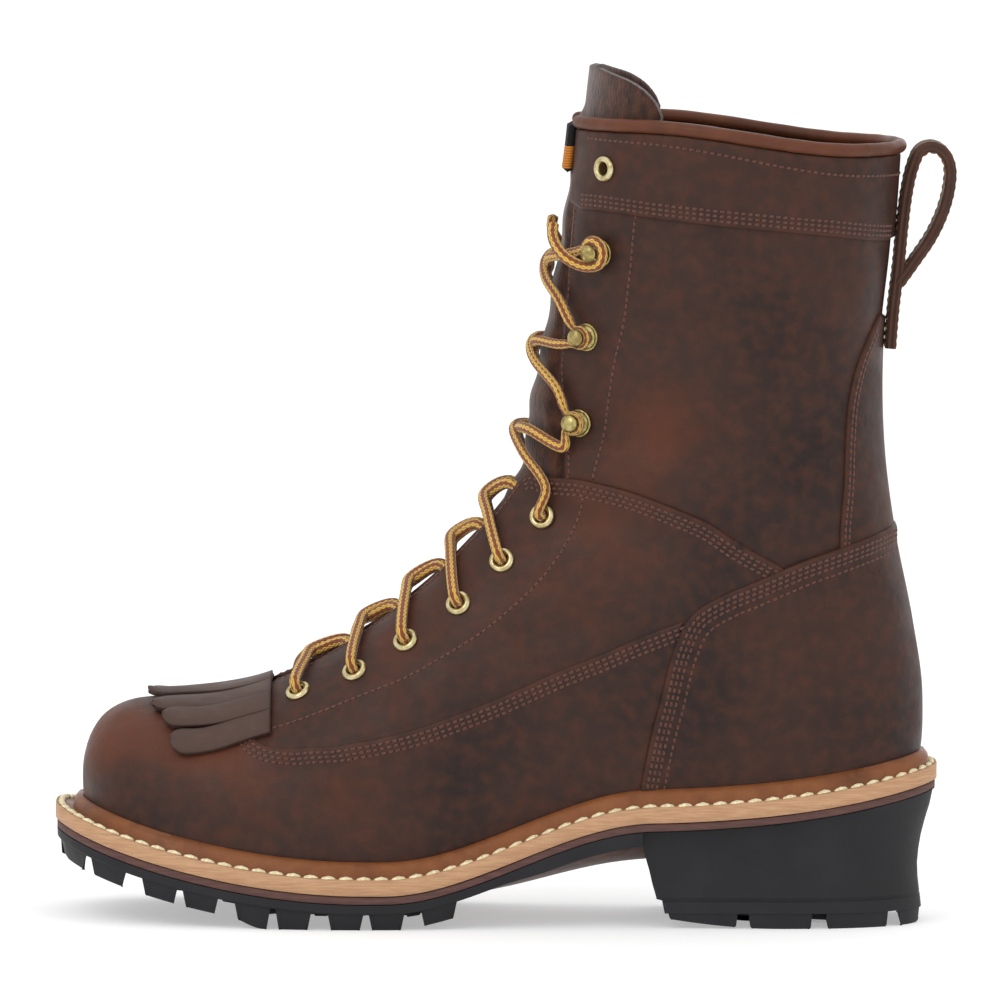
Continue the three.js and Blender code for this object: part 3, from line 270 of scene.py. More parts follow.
def distance_to(points: Array, line: Array) -> Array:
    """Distance of each point from the nearest point of a line."""
    nearest = np.empty(len(points))
    chunk = 2000
    for start in range(0, len(points), chunk):
        part = points[start:start + chunk, None, :] - line[None, :, :]
        nearest[start:start + chunk] = np.sqrt((part ** 2).sum(-1).min(1))
    return nearest


class Last:
    """Surface of the last. A place counts sections from the toe, and a turn runs round a section.

    The turn is 0 under the foot or at the back and pi at the top or front, and positive on the outer side.
    """

    def __init__(self, sizes: LastSizes, sole: SoleSizes) -> None:
        """Work out the sections in millimetres, and start the last at the origin of the part's frame."""
        self.sizes = sizes
        self.stack = sole.welt + sole.leather + sole.rubber + sole.base + sole.lug + 3.5 * sizes.gap
        self.origin = np.zeros(3)
        rows = np.array([self._row(values) for values in SECTIONS])
        before = rows[1].copy()
        before[[1, 3]] = rows[1][[3, 1]]
        before[[4, 5]] = -rows[1][[4, 5]]
        self.rows = np.vstack([before, rows, 2 * rows[-1] - rows[-2]])
        self.end = len(SECTIONS) - 1
        self.fine_places = np.arange(0.02, self.end, 0.02)
        self.fine = self.section(self.fine_places)

    def _row(self, values: Sequence) -> list[float]:
        """Turn a table row into heights and widths in millimetres."""
        top_x, low_x = self.along(values[0]), self.along(values[2])
        width = getattr(self.sizes, values[4])
        return [
            top_x, float(self.height(top_x, values[1])), low_x, float(self.height(low_x, values[3])),
            values[5] * width, values[6] * width, values[7], values[8], values[9],
            values[10] * self.sizes.ball_width,
        ]

    def along(self, share: Array) -> Array:
        """X of a station along the last."""
        return (share - self.sizes.origin_share) * self.sizes.length

    def share_at(self, x: Array) -> Array:
        """Station along the last of an X."""
        return x / self.sizes.length + self.sizes.origin_share

    def welt_top(self, x: Array) -> Array:
        """Height of the welt's shelf."""
        s = self.sizes
        share = self.share_at(x)
        toe = np.maximum(0.0, (0.339 - share) / 0.376)
        rake = np.maximum(0.0, (share - 0.656) / 0.36)
        lift = smooth_step((share - 0.362) / 0.32)
        return self.stack + s.toe_spring * toe ** 2 + s.heel_lift * lift + s.heel_rake * rake ** 2

    def height(self, x: Array, level: Array) -> Array:
        """Height of a level over the sole: 0 at the welt, 1 at the ankle bend, 2 at the collar."""
        s = self.sizes
        level = np.asarray(level, float)
        rise = np.where(level <= 1, level * s.instep_rise, s.instep_rise + (level - 1) * s.shaft_rise)
        return self.welt_top(x) + rise

    def section(self, place: Array) -> Array:
        """Blend the sections smoothly at each place."""
        place = np.atleast_1d(np.asarray(place, float))
        index = np.clip(np.floor(place).astype(int), 0, self.end - 1)
        t = (place - index)[:, None]
        a, b, c, d = (self.rows[index + k] for k in range(4))
        square, cube = 2 * a - 5 * b + 4 * c - d, 3 * b - a - 3 * c + d
        return 0.5 * (2 * b + (c - a) * t + square * t ** 2 + cube * t ** 3)

    def bare_point(self, place: Array, turn: Array) -> Array:
        """Points on the last's surface."""
        place, turn = np.broadcast_arrays(*(np.atleast_1d(part).astype(float) for part in (place, turn)))
        turn = (turn + math.pi) % TURN - math.pi
        top_x, top_z, low_x, low_z, outer, inner, widest, low_round, top_round, centre = self.section(place).T
        angle = np.abs(turn)
        low = angle < math.pi / 2
        power = 2 / np.where(low, low_round, top_round)
        c = np.abs(np.cos(angle)) ** power
        s = np.abs(np.sin(angle)) ** power
        up = np.where(low, widest * (1 - c), widest + (1 - widest) * c)
        side = np.where(turn >= 0, -outer, inner)
        x, z = low_x + up * (top_x - low_x), low_z + up * (top_z - low_z)
        return np.stack([x, centre + side * s, z], axis=1)

    def normal(self, place: Array, turn: Array) -> Array:
        """Outward directions of the last's surface."""
        step = 0.02
        at = np.clip(np.atleast_1d(place), 0.05, self.end - step)
        forward = self.bare_point(at + step, turn) - self.bare_point(at - step, turn)
        around = self.bare_point(at, np.asarray(turn) + step) - self.bare_point(at, np.asarray(turn) - step)
        return unit(np.cross(forward, around))

    def point(self, place: Array, turn: Array, offset: Array = 0.0) -> Array:
        """Points at a distance outside the last's surface, in the part's frame."""
        lift = np.atleast_1d(np.asarray(offset, float))[:, None]
        return self.bare_point(place, turn) + self.normal(place, turn) * lift + self.origin

    def place_of(self, share: Array, level: Array, side: Side) -> tuple[Array, Array]:
        """Find where on the last a point of the side view lies.

        Args:
            share: Stations along the last.
            level: Levels over the sole.
            side: Side of the foot that is looked at.

        Returns:
            The places and the turns.
        """
        x = self.along(np.atleast_1d(share))
        z = self.height(x, np.atleast_1d(level))
        top, low = self.fine[:, 0:2], self.fine[:, 2:4]
        span = top - low
        dx, dz = x[:, None] - low[:, 0], z[:, None] - low[:, 1]
        miss = span[:, 0] * dz - span[:, 1] * dx
        up = (dx * span[:, 0] + dz * span[:, 1]) / (span ** 2).sum(1)
        meets = (miss[:, :-1] * miss[:, 1:] <= 0) & (up[:, :-1] > -0.01) & (up[:, :-1] < 1.01)
        if not meets.any(1).all():
            lost = np.stack(np.broadcast_arrays(share, level), axis=-1).reshape(-1, 2)[~meets.any(1)]
            raise ValueError(f"no section passes through {lost.tolist()}")
        pick, index = np.arange(len(x)), meets.argmax(1)
        t = miss[pick, index] / (miss[pick, index] - miss[pick, index + 1])
        place = self.fine_places[index] + t * (self.fine_places[1] - self.fine_places[0])
        up = up[pick, index] * (1 - t) + up[pick, index + 1] * t
        widest, low_round, top_round = self.section(place)[:, 6:9].T
        is_low = up < widest
        c = np.clip(np.where(is_low, 1 - up / widest, (up - widest) / (1 - widest)), 0, 1)
        angle = np.arccos(c ** (np.where(is_low, low_round, top_round) / 2))
        return place, side.value * np.where(is_low, angle, math.pi - angle)

    def side_line(self, rows: Rows, side: Side, spacing: float = 1.5) -> Array:
        """Lay a smooth line of the side view on one side of the last, as places and turns."""
        scale = np.array([self.sizes.length, self.sizes.instep_rise])
        line = spline(np.asarray(rows) * scale, spacing) / scale
        return np.stack(self.place_of(line[:, 0], line[:, 1], side), axis=1)

    def turn_across(self, place: Array, distance: Array) -> Array:
        """Turns at which sections are a distance off their centre line, near the top."""
        place, distance = np.broadcast_arrays(np.atleast_1d(place).astype(float), np.atleast_1d(distance))
        section = self.section(place)
        width = np.where(distance < 0, section[:, 4], section[:, 5])
        s = np.clip(np.abs(distance) / width, 0, 1) ** (section[:, 8] / 2)
        return np.where(distance < 0, 1, -1) * (math.pi - np.arcsin(s))

    def throat_half(self, place: Array) -> Array:
        """Half the width of the throat's opening."""
        table = np.array(THROAT)
        return np.interp(place, table[:, 0], table[:, 1]) * self.sizes.ball_width

    def collar_height(self, x: Array) -> Array:
        """Height of the collar's top edge."""
        top = float(self.height(self.along(0.579), 2))
        return top - self.sizes.collar_drop * smooth_step((self.share_at(x) - 0.656) / 0.266)

    def collar_place(self, turn: Array, below: float) -> Array:
        """Places at which the collar is met on the way up, a distance below its edge."""
        turn = np.atleast_1d(turn)
        low, high = np.full(len(turn), self.end - 5.0), np.full(len(turn), float(self.end))
        for _ in range(24):
            middle = (low + high) / 2
            at = self.bare_point(middle, turn)
            under = at[:, 2] < self.collar_height(at[:, 0]) - below
            low, high = np.where(under, middle, low), np.where(under, high, middle)
        return low

    def aside(self, line: Array, distance: float, closed: bool) -> Array:
        """Move a line sideways on the surface, to the left of its run as seen from outside.

        Args:
            line: Places and turns.
            distance: How far to move, in millimetres.
            closed: Whether the line's ends meet.

        Returns:
            The moved line's places and turns.
        """
        steps = max(1, math.ceil(abs(distance) / 1.2))
        moved = line.copy()
        for _ in range(steps):
            place, turn = moved.T
            at = self.bare_point(place, turn)
            if closed:
                run = np.roll(at, -1, axis=0) - np.roll(at, 1, axis=0)
            else:
                run = np.gradient(at, axis=0)
            left = unit(np.cross(self.normal(place, turn), run)) * (distance / steps)
            e = 0.01
            by_place = (self.bare_point(place + e, turn) - self.bare_point(place - e, turn)) / (2 * e)
            by_turn = (self.bare_point(place, turn + e) - self.bare_point(place, turn - e)) / (2 * e)
            pp, tt = (by_place ** 2).sum(1), (by_turn ** 2).sum(1)
            pt = (by_place * by_turn).sum(1)
            p, t = (by_place * left).sum(1), (by_turn * left).sum(1)
            det = np.maximum(pp * tt - pt ** 2, 1e-6)
            moved = moved + np.stack([(p * tt - t * pt) / det, (t * pp - p * pt) / det], axis=1)
        return moved


class Chart:
    """Flat map of the last's surface round a middle turn, with true lengths as near as may be."""

    def __init__(self, last: Last, middle: float) -> None:
        """Measure the sections' spacing and girth."""
        self.middle = middle
        self.places = np.linspace(0.0, last.end + 0.3, 150)
        turns = np.linspace(-math.pi, math.pi, 49)
        rings = np.array([last.bare_point(np.full(len(turns), place), turns) for place in self.places])
        girth = np.linalg.norm(np.diff(rings, axis=1), axis=2).sum(1)
        self.radius = girth / TURN
        gaps = np.linalg.norm(np.diff(rings, axis=0), axis=2).mean(1)
        self.reach = np.concatenate([[0.0], np.cumsum(gaps)])

    def flat(self, line: Array) -> Array:
        """Lay places and turns out flat."""
        turn = (line[:, 1] - self.middle + math.pi) % TURN - math.pi
        along = np.interp(line[:, 0], self.places, self.reach)
        return np.stack([along, turn * np.interp(line[:, 0], self.places, self.radius)], axis=1)

    def spot(self, flat: Array) -> Array:
        """Find the places and turns of flat points."""
        place = np.interp(flat[:, 0], self.reach, self.places)
        radius = np.maximum(np.interp(place, self.places, self.radius), 0.3)
        return np.stack([place, self.middle + flat[:, 1] / radius], axis=1)


def inside(points: Array, loop: Array) -> Array:
    """Tell which flat points lie within a closed outline."""
    within = np.zeros(len(points), bool)
    for (ax, ay), (bx, by) in zip(loop, np.roll(loop, -1, axis=0)):
        if ay == by:
            continue
        crosses = (ay > points[:, 1]) != (by > points[:, 1])
        within ^= crosses & (points[:, 0] < (bx - ax) * (points[:, 1] - ay) / (by - ay) + ax)
    return within


def loop_area(flat: Array) -> float:
    """Signed area of a flat outline."""
    x, y = flat.T
    return float((x * np.roll(y, -1) - np.roll(x, -1) * y).sum() / 2)


def grid_faces(rows: int, columns: int, closed: bool = False) -> list[tuple[int, ...]]:
    """Faces of a grid of points, with the last column joined to the first when it is closed."""
    across = columns if closed else columns - 1
    faces = []
    for start in range(0, (rows - 1) * columns, columns):
        for j in range(across):
            a, b = start + j, start + (j + 1) % columns
            faces.append((a, b, b + columns, a + columns))
    return faces


@dataclass
class Piece:
    """A mesh on its way into the scene, in millimetres."""

    name: str
    points: Array
    faces: list
    finish: str
    slot: str
    marks: dict[str, Array] = field(default_factory=dict)
    crisp: float = 0.0

    def place(self, replaces: Sequence[str] = ()) -> bpy.types.Object:
        """Make the object, dress it and let it ride on the part.

        Args:
            replaces: Nodes of the part that the piece stands for.

        Returns:
            The new object.
        """
        mesh = bpy.data.meshes.new(self.name)
        mesh.from_pydata((np.asarray(self.points) * MM).tolist(), [], self.faces)
        mesh.validate()
        for name, values in self.marks.items():
            mark = mesh.attributes.new(name, "FLOAT", "POINT")
            mark.data.foreach_set("value", np.asarray(values, np.float32))
        mesh.polygons.foreach_set("use_smooth", [True] * len(mesh.polygons))
        if self.crisp:
            mesh.set_sharp_from_angle(angle=math.radians(self.crisp))
        mesh.materials.append(bpy.data.materials[f"{self.finish}_finish"])
        piece = bpy.data.objects.new(self.name, mesh)
        bpy.context.scene.collection.objects.link(piece)
        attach(piece, "root")
        if replaces:
            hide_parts(*replaces)
        LOG.info("%s: %d faces", self.name, len(mesh.polygons))
        return piece


def blank_marks(count: int, edge: float = FAR_INSIDE) -> dict[str, Array]:
    """Marks for points away from any edge, in leather of one tone."""
    return {"edge": np.full(count, edge), "tone": np.zeros(count)}


def joined(name: str, parts: Sequence[Piece], finish: str, slot: str, crisp: float = 0.0) -> Piece:
    """Join several meshes into one piece."""
    points, faces, count = [], [], 0
    marks: dict[str, list] = {key: [] for key in parts[0].marks}
    for part in parts:
        points.append(np.asarray(part.points))
        faces.extend(tuple(k + count for k in face) for face in part.faces)
        count += len(part.points)
        for key in marks:
            marks[key].append(part.marks[key])
    all_marks = {key: np.concatenate(values) for key, values in marks.items()}
    return Piece(name, np.vstack(points), faces, finish, slot, all_marks, crisp)


class FoldShape(Enum):
    """How a fold's height falls off from its line."""

    LAP = "lap"
    CREASE = "crease"


@dataclass
class Fold:
    """A lapped edge, or a soft ridge or trough, along a line of points on the last."""

    line: Array
    height: float
    width: float
    shape: FoldShape = FoldShape.CREASE

    def lift(self, points: Array) -> Array:
        """Height that the fold adds at each point."""
        reach = distance_to(points, self.line) / self.width
        if self.shape is FoldShape.LAP:
            return self.height * (1 - smooth_step(reach))
        return self.height * np.exp(-reach ** 2)


@dataclass
class Panel:
    """A cut piece of leather that lies on the last, with a rounded edge."""

    name: str
    outline: Array
    chart: Chart
    level: float
    folds: list[Fold] = field(default_factory=list)
    holes: list[Array] = field(default_factory=list)
    rim: float = 1.1
    skirt: float = 0.8
    spacing: float = 2.2
    finish: str = "boot_leather"
    slot: str = "boot_leather"
    rim_steps: tuple[float, ...] = (0.0, 0.12, 0.4, 0.95)
    hole_radius: float = 3.0

    def build(self, last: Last, tone: Callable[[Array], Array]) -> Piece:
        """Cut the panel to its outline and lay it on the last.

        Args:
            last: The last that it lies on.
            tone: Gives how warm or dark the leather is at points.

        Returns:
            The panel's mesh.
        """
        loop = self.outline
        shifted = last.aside(loop, 0.5, True)
        if abs(loop_area(self.chart.flat(shifted))) > abs(loop_area(self.chart.flat(loop))):
            loop = loop[::-1].copy()
        rings = [last.aside(loop, step, True) if step else loop for step in self.rim_steps]
        count = len(loop)
        edge = self.chart.flat(rings[-1])
        places = np.vstack([rings[0]] + rings[:-1])
        reach = self.rim_steps[-1]
        drops = [self.rim + self.skirt]
        drops += [self.rim * (1 - math.sqrt(1 - (1 - step / reach) ** 2)) for step in self.rim_steps[:-1]]
        drop = np.repeat(drops, count)
        (inner, ring_index), faces = self._fill(last, edge)
        places = np.vstack([places, self.chart.spot(inner)])
        drop = np.concatenate([drop, np.zeros(len(inner))])
        base = count * len(self.rim_steps)
        faces = [tuple(v + base for v in face) for face in faces]
        for k in range(len(self.rim_steps)):
            for j in range(count):
                n = (j + 1) % count
                if k + 1 < len(self.rim_steps):
                    faces_row = ((k + 1) * count + j, (k + 1) * count + n)
                else:
                    faces_row = (base + ring_index[j], base + ring_index[n])
                faces.append((k * count + j, k * count + n, faces_row[1], faces_row[0]))
        bare = last.bare_point(places[:, 0], places[:, 1])
        offset = self.level - drop
        offset += sum((fold.lift(bare) for fold in self.folds), np.zeros(len(bare)))
        points = last.point(places[:, 0], places[:, 1], offset)
        edge_line = last.bare_point(loop[:, 0], loop[:, 1])
        marks = {"edge": np.minimum(distance_to(bare, edge_line), FAR_INSIDE), "tone": tone(bare)}
        piece = Piece(self.name, points, faces, self.finish, self.slot, marks)
        self._face_out(piece, last.normal(places[:, 0], places[:, 1]))
        return piece

    def _fill(self, last: Last, edge: Array) -> tuple[tuple[Array, list[int]], list]:
        """Triangulate the panel inside its rim."""
        low, high = edge.min(0), edge.max(0)
        row_gap = self.spacing * math.sqrt(3) / 2
        rows = np.arange(low[0], high[0], row_gap)
        grid = np.vstack([
            np.stack([np.full_like(c, x), c], axis=1)
            for i, x in enumerate(rows)
            for c in [np.arange(low[1] + (i % 2) * self.spacing / 2, high[1], self.spacing)]
        ])
        grid = grid[inside(grid, edge)]
        grid = grid[distance_to(grid, edge) > self.spacing * 0.55]
        rings = [self._hole_ring(last, centre) for centre in self.holes]
        for ring in rings:
            grid = grid[distance_to(grid, ring.mean(0)[None, :]) > self.hole_radius * 1.35]
        flat = np.vstack([edge, grid] + rings)
        edges = []
        start = len(edge) + len(grid)
        for ring in rings:
            edges.extend((start + k, start + (k + 1) % len(ring)) for k in range(len(ring)))
            start += len(ring)
        result = delaunay_2d_cdt([Vector(p) for p in flat], edges, [list(range(len(edge)))], 1, 1e-5)
        spots = np.array([tuple(p) for p in result[0]])
        origin = {old: new for new, olds in enumerate(result[3]) for old in olds}
        faces = [tuple(f) for f in result[2]]
        if self.holes:
            middles = spots[np.array(faces)].mean(1)
            open_hole = np.zeros(len(faces), bool)
            for ring in rings:
                open_hole |= inside(middles, ring)
            faces = [f for f, gone in zip(faces, open_hole) if not gone]
        return (spots, [origin[j] for j in range(len(edge))]), faces

    def _hole_ring(self, last: Last, centre: Array) -> Array:
        """Flat outline of a hole round a place and turn."""
        around = np.linspace(0, TURN, 16, endpoint=False)
        e = 0.01
        place, turn = centre
        by_place = last.bare_point(place + e, turn) - last.bare_point(place - e, turn)
        by_turn = last.bare_point(place, turn + e) - last.bare_point(place, turn - e)
        along, aside = (self.hole_radius * 2 * e / np.linalg.norm(step) for step in (by_place, by_turn))
        ring = np.stack([place + along * np.cos(around), turn + aside * np.sin(around)], axis=1)
        return self.chart.flat(ring)

    @staticmethod
    def _face_out(piece: Piece, out: Array) -> None:
        """Turn each face so that it looks away from the last."""
        points = piece.points
        turned = []
        for face in piece.faces:
            a, b, c = points[face[0]], points[face[1]], points[face[-1]]
            if np.dot(np.cross(b - a, c - a), out[face[0]] + out[face[1]] + out[face[-1]]) < 0:
                face = face[::-1]
            turned.append(face)
        piece.faces = turned


def frames_along(path: Array, up: Array) -> tuple[Array, Array, Array]:
    """Carry a side direction along a path without twist.

    Args:
        path: Points of the path.
        up: Direction that the first side direction should lie near.

    Returns:
        The run, side and up directions at each point.
    """
    run = unit(np.gradient(path, axis=0))
    sides = np.empty_like(run)
    side = unit(up - run[0] * np.dot(up, run[0]))
    for i, ahead in enumerate(run):
        side = unit(side - ahead * np.dot(side, ahead))
        sides[i] = side
    return run, sides, np.cross(run, sides)


def tube(
    name: str, path: Array, radius: Array, finish: str, slot: str, sides: int = 14, flat: float = 1.0,
) -> Piece:
    """Sweep a round or flattened section along a path and close both ends.

    Args:
        name: Name of the piece.
        path: Points of the middle line.
        radius: Radius along the path, or one for all of it.
        finish: Name of the material.
        slot: Slot of the record.
        sides: Number of points round the section.
        flat: Height of the section as a share of its width.

    Returns:
        The tube, marked with the distance along it and the share round it.
    """
    _, side, up = frames_along(path, np.array([0.0, 0.0, 1.0]))
    around = np.linspace(0, TURN, sides, endpoint=False)
    radius = np.broadcast_to(np.asarray(radius, float), len(path))[:, None, None]
    ring = np.cos(around)[None, :, None] * side[:, None, :]
    ring = ring + flat * np.sin(around)[None, :, None] * up[:, None, :]
    points = (path[:, None, :] + ring * radius).reshape(-1, 3)
    reach = np.concatenate([[0.0], np.cumsum(np.linalg.norm(np.diff(path, axis=0), axis=1))])
    marks = {
        "along": np.concatenate([np.repeat(reach, sides), reach[[0, -1]]]),
        "around": np.concatenate([np.tile(np.abs(around / math.pi - 1), len(path)), [0.5, 0.5]]),
    }
    count = len(points)
    faces = grid_faces(len(path), sides, closed=True)
    faces += [(count, (j + 1) % sides, j) for j in range(sides)]
    faces += [(count + 1, count - sides + j, count - sides + (j + 1) % sides) for j in range(sides)]
    return Piece(name, np.vstack([points, path[0], path[-1]]), faces, finish, slot, marks)


@dataclass(frozen=True)
class Seam:
    """Rows of stitches of one thread."""

    pitch: float
    length: float
    width: float
    height: float
    slant: float = 0.0
    sides: int = 6
    shift: float = 0.5

    def sew(self, lines: Sequence[tuple[Array, Array]], name: str, finish: str, slot: str) -> Piece:
        """Lay stitches along lines.

        Args:
            lines: For each row its points and the outward directions there.
            name: Name of the piece.
            finish: Name of the material.
            slot: Slot of the record.

        Returns:
            All stitches as one mesh.
        """
        stations = np.array([-0.5, -0.36, 0.0, 0.36, 0.5])
        swell = np.array([0.25, 0.75, 1.0, 0.75, 0.25])
        around = np.linspace(0, TURN, self.sides, endpoint=False)
        wide, high = self.width / 2, self.height / 2
        template = np.array([
            (station * self.length, fat * math.cos(a) * wide, (fat * math.sin(a) - (1 - fat)) * high)
            for station, fat in zip(stations, swell) for a in around
        ])
        faces = grid_faces(len(stations), self.sides, closed=True)
        faces += [tuple(range(self.sides))[::-1], tuple(range(len(template) - self.sides, len(template)))]
        all_points, all_faces, count = [], [], 0
        for line, out in lines:
            even = resample(np.hstack([line, out]), self.pitch)
            here = even[:-1] * (1 - self.shift) + even[1:] * self.shift
            at, normal = here[:, :3], unit(here[:, 3:])
            run = unit(even[1:, :3] - even[:-1, :3])
            across = unit(np.cross(normal, run))
            run = unit(run + across * self.slant)
            across = unit(np.cross(normal, run))
            local = (
                template[None, :, 0:1] * run[:, None] + template[None, :, 1:2] * across[:, None]
                + template[None, :, 2:3] * normal[:, None]
            )
            all_points.append((at[:, None, :] + local).reshape(-1, 3))
            for k in range(len(at)):
                all_faces.extend(tuple(v + count for v in face) for face in faces)
                count += len(template)
        return Piece(name, np.vstack(all_points), all_faces, finish, slot)


def linear(colour: Colour) -> tuple[float, float, float, float]:
    """Turn a screen colour of 0 to 255 into the renderer's linear values."""
    parts = [c / 255 for c in colour]
    return (*(p / 12.92 if p <= 0.04045 else ((p + 0.055) / 1.055) ** 2.4 for p in parts), 1.0)


class Nodes:
    """Adds and links the shader nodes of one material."""

    def __init__(self, name: str) -> None:
        """Start a material with the standard shader."""
        self.material = bpy.data.materials.new(f"{name}_finish")
        self.material.use_nodes = True
        self.tree = self.material.node_tree
        self.shader = self.tree.nodes["Principled BSDF"]
        self.where = self.add("ShaderNodeTexCoord").outputs["Object"]

    def add(self, kind: str, **settings: object) -> bpy.types.Node:
        """Add a node with its settings."""
        node = self.tree.nodes.new(kind)
        for name, value in settings.items():
            setattr(node, name, value)
        return node

    def feed(self, value: object, socket: Socket) -> None:
        """Link an output to a socket, or set the socket's own value."""
        if isinstance(value, Socket):
            self.tree.links.new(value, socket)
        else:
            socket.default_value = value

    def sum(self, operation: str, a: object, b: object = 0.0, clamp: bool = False) -> Socket:
        """Work out a number from two others."""
        node = self.add("ShaderNodeMath", operation=operation, use_clamp=clamp)
        self.feed(a, node.inputs[0])
        self.feed(b, node.inputs[1])
        return node.outputs[0]

    def span(
        self, value: object, low: float, high: float, to_low: float = 0.0, to_high: float = 1.0,
    ) -> Socket:
        """Map a range of numbers smoothly onto another."""
        node = self.add("ShaderNodeMapRange", interpolation_type="SMOOTHSTEP")
        self.feed(value, node.inputs["Value"])
        for name, number in (("From Min", low), ("From Max", high), ("To Min", to_low), ("To Max", to_high)):
            node.inputs[name].default_value = number
        return node.outputs[0]

    def noise(self, size: float, detail: float = 3.0, stretch: Sequence[float] = (1, 1, 1)) -> Socket:
        """Soft noise with features of a size in millimetres."""
        mapping = self.add("ShaderNodeMapping")
        self.feed(self.where, mapping.inputs["Vector"])
        mapping.inputs["Scale"].default_value = stretch
        node = self.add("ShaderNodeTexNoise")
        self.feed(mapping.outputs[0], node.inputs["Vector"])
        node.inputs["Scale"].default_value = 1 / (size * MM)
        node.inputs["Detail"].default_value = detail
        return node.outputs[0]

    def cells(self, size: float, feature: str = "F1", random: float = 1.0) -> Socket:
        """Distance within cells of a size in millimetres."""
        node = self.add("ShaderNodeTexVoronoi", feature=feature)
        self.feed(self.where, node.inputs["Vector"])
        node.inputs["Scale"].default_value = 1 / (size * MM)
        node.inputs["Randomness"].default_value = random
        return node.outputs["Distance"]

    def mark(self, name: str) -> Socket:
        """Read a mark that the mesh carries."""
        return self.add("ShaderNodeAttribute", attribute_name=name).outputs["Fac"]

    def mix(self, share: object, a: object, b: object, blend: str = "MIX") -> Socket:
        """Mix two colours."""
        node = self.add("ShaderNodeMix", data_type="RGBA", blend_type=blend)
        self.feed(share, node.inputs[0])
        self.feed(linear(a) if isinstance(a, tuple) else a, node.inputs[6])
        self.feed(linear(b) if isinstance(b, tuple) else b, node.inputs[7])
        return node.outputs[2]

    def bump(self, layers: Sequence[tuple[object, float]]) -> None:
        """Stack bumps, each with its height in millimetres, on the shader's normal."""
        normal = None
        for height, depth in layers:
            node = self.add("ShaderNodeBump")
            node.inputs["Strength"].default_value = 1.0
            node.inputs["Distance"].default_value = depth * MM
            self.feed(height, node.inputs["Height"])
            if normal is not None:
                self.feed(normal, node.inputs["Normal"])
            normal = node.outputs[0]
        self.feed(normal, self.shader.inputs["Normal"])

    def finish(self, colour: object, roughness: object, **numbers: object) -> bpy.types.Material:
        """Set the shader's colour, roughness and other sockets, and return the material."""
        self.feed(linear(colour) if isinstance(colour, tuple) else colour, self.shader.inputs["Base Color"])
        self.feed(roughness, self.shader.inputs["Roughness"])
        for name, value in numbers.items():
            self.feed(value, self.shader.inputs[name.replace("_", " ").title().replace("Ior", "IOR")])
        return self.material


@dataclass(frozen=True)
class LeatherFinish:
    """Oiled leather, darker and warmer in places, with a fine grain and rubbed edges."""

    name: str
    deep: Colour
    body: Colour
    warm: Colour
    rim: Colour
    roughness: float = 0.5
    grain: float = 0.05
    patches: float = 55.0

    def build(self) -> bpy.types.Material:
        """Make the material."""
        n = Nodes(self.name)
        cloud = n.sum("MULTIPLY", n.sum("SUBTRACT", n.noise(self.patches, 4.0), 0.5), 1.9)
        tone = n.sum("ADD", n.mark("tone"), cloud)
        colour = n.mix(n.span(tone, -0.55, 0.12), self.deep, self.body)
        colour = n.mix(n.span(tone, 0.08, 0.85), colour, self.warm)
        mottle = n.noise(5.0, 5.0)
        colour = n.mix(n.span(mottle, 0.35, 0.75, 0.0, 0.32), colour, self.warm)
        pull = n.noise(2.6, 3.0, (0.25, 1.0, 1.6))
        colour = n.mix(n.span(pull, 0.60, 0.85, 0.0, 0.22), colour, self.rim)
        pores = n.span(n.cells(0.75), 0.0, 0.55)
        colour = n.mix(n.span(pores, 0.0, 0.7, 0.30, 0.0), colour, self.deep)
        edge = n.mark("edge")
        rubbed = n.sum("MULTIPLY", n.span(edge, 0.5, 4.5, 0.42, 0.0), n.span(mottle, 0.3, 0.6))
        colour = n.mix(rubbed, colour, self.rim)
        colour = n.mix(n.span(edge, 0.05, 0.55, 0.5, 0.0), colour, self.rim)
        wrinkle = n.noise(7.0, 2.0, (1.0, 1.0, 1.7))
        n.bump([(wrinkle, 0.3), (pores, self.grain), (n.noise(0.5, 3.0), self.grain * 1.2)])
        rough = n.span(n.noise(14.0, 4.0), 0.3, 0.75, self.roughness - 0.07, self.roughness + 0.10)
        return n.finish(colour, rough, specular_ior_level=0.22)


@dataclass(frozen=True)
class SuedeFinish:
    """Napped leather with brushed, uneven colour."""

    name: str
    dark: Colour
    light: Colour
    nap: float = 0.25

    def build(self) -> bpy.types.Material:
        """Make the material."""
        n = Nodes(self.name)
        brushed = n.noise(3.2, 4.0, (1.0, 1.0, 0.6))
        fibre = n.noise(0.7, 4.0, (1.0, 1.0, 0.35))
        colour = n.mix(n.span(brushed, 0.3, 0.7), self.dark, self.light)
        colour = n.mix(n.span(fibre, 0.35, 0.7, 0.35, 0.0), colour, self.dark)
        n.bump([(brushed, 0.3), (fibre, self.nap)])
        return n.finish(colour, 0.92, specular_ior_level=0.2, sheen_weight=0.35, sheen_roughness=0.5)


@dataclass(frozen=True)
class EdgeFinish:
    """Trimmed edge of a sole layer, with fine layers that run along the sole."""

    name: str
    dark: Colour
    light: Colour
    layer: float
    roughness: float
    depth: float = 0.12

    def build(self) -> bpy.types.Material:
        """Make the material."""
        n = Nodes(self.name)
        lines = n.noise(9.0, 4.0, (1.0, 1.0, 9.0 / self.layer))
        dots = n.noise(0.8, 3.0)
        colour = n.mix(n.span(lines, 0.32, 0.68), self.dark, self.light)
        colour = n.mix(n.span(dots, 0.45, 0.75, 0.0, 0.35), colour, self.dark)
        n.bump([(lines, self.depth), (dots, self.depth * 0.5)])
        return n.finish(colour, self.roughness, specular_ior_level=0.35)


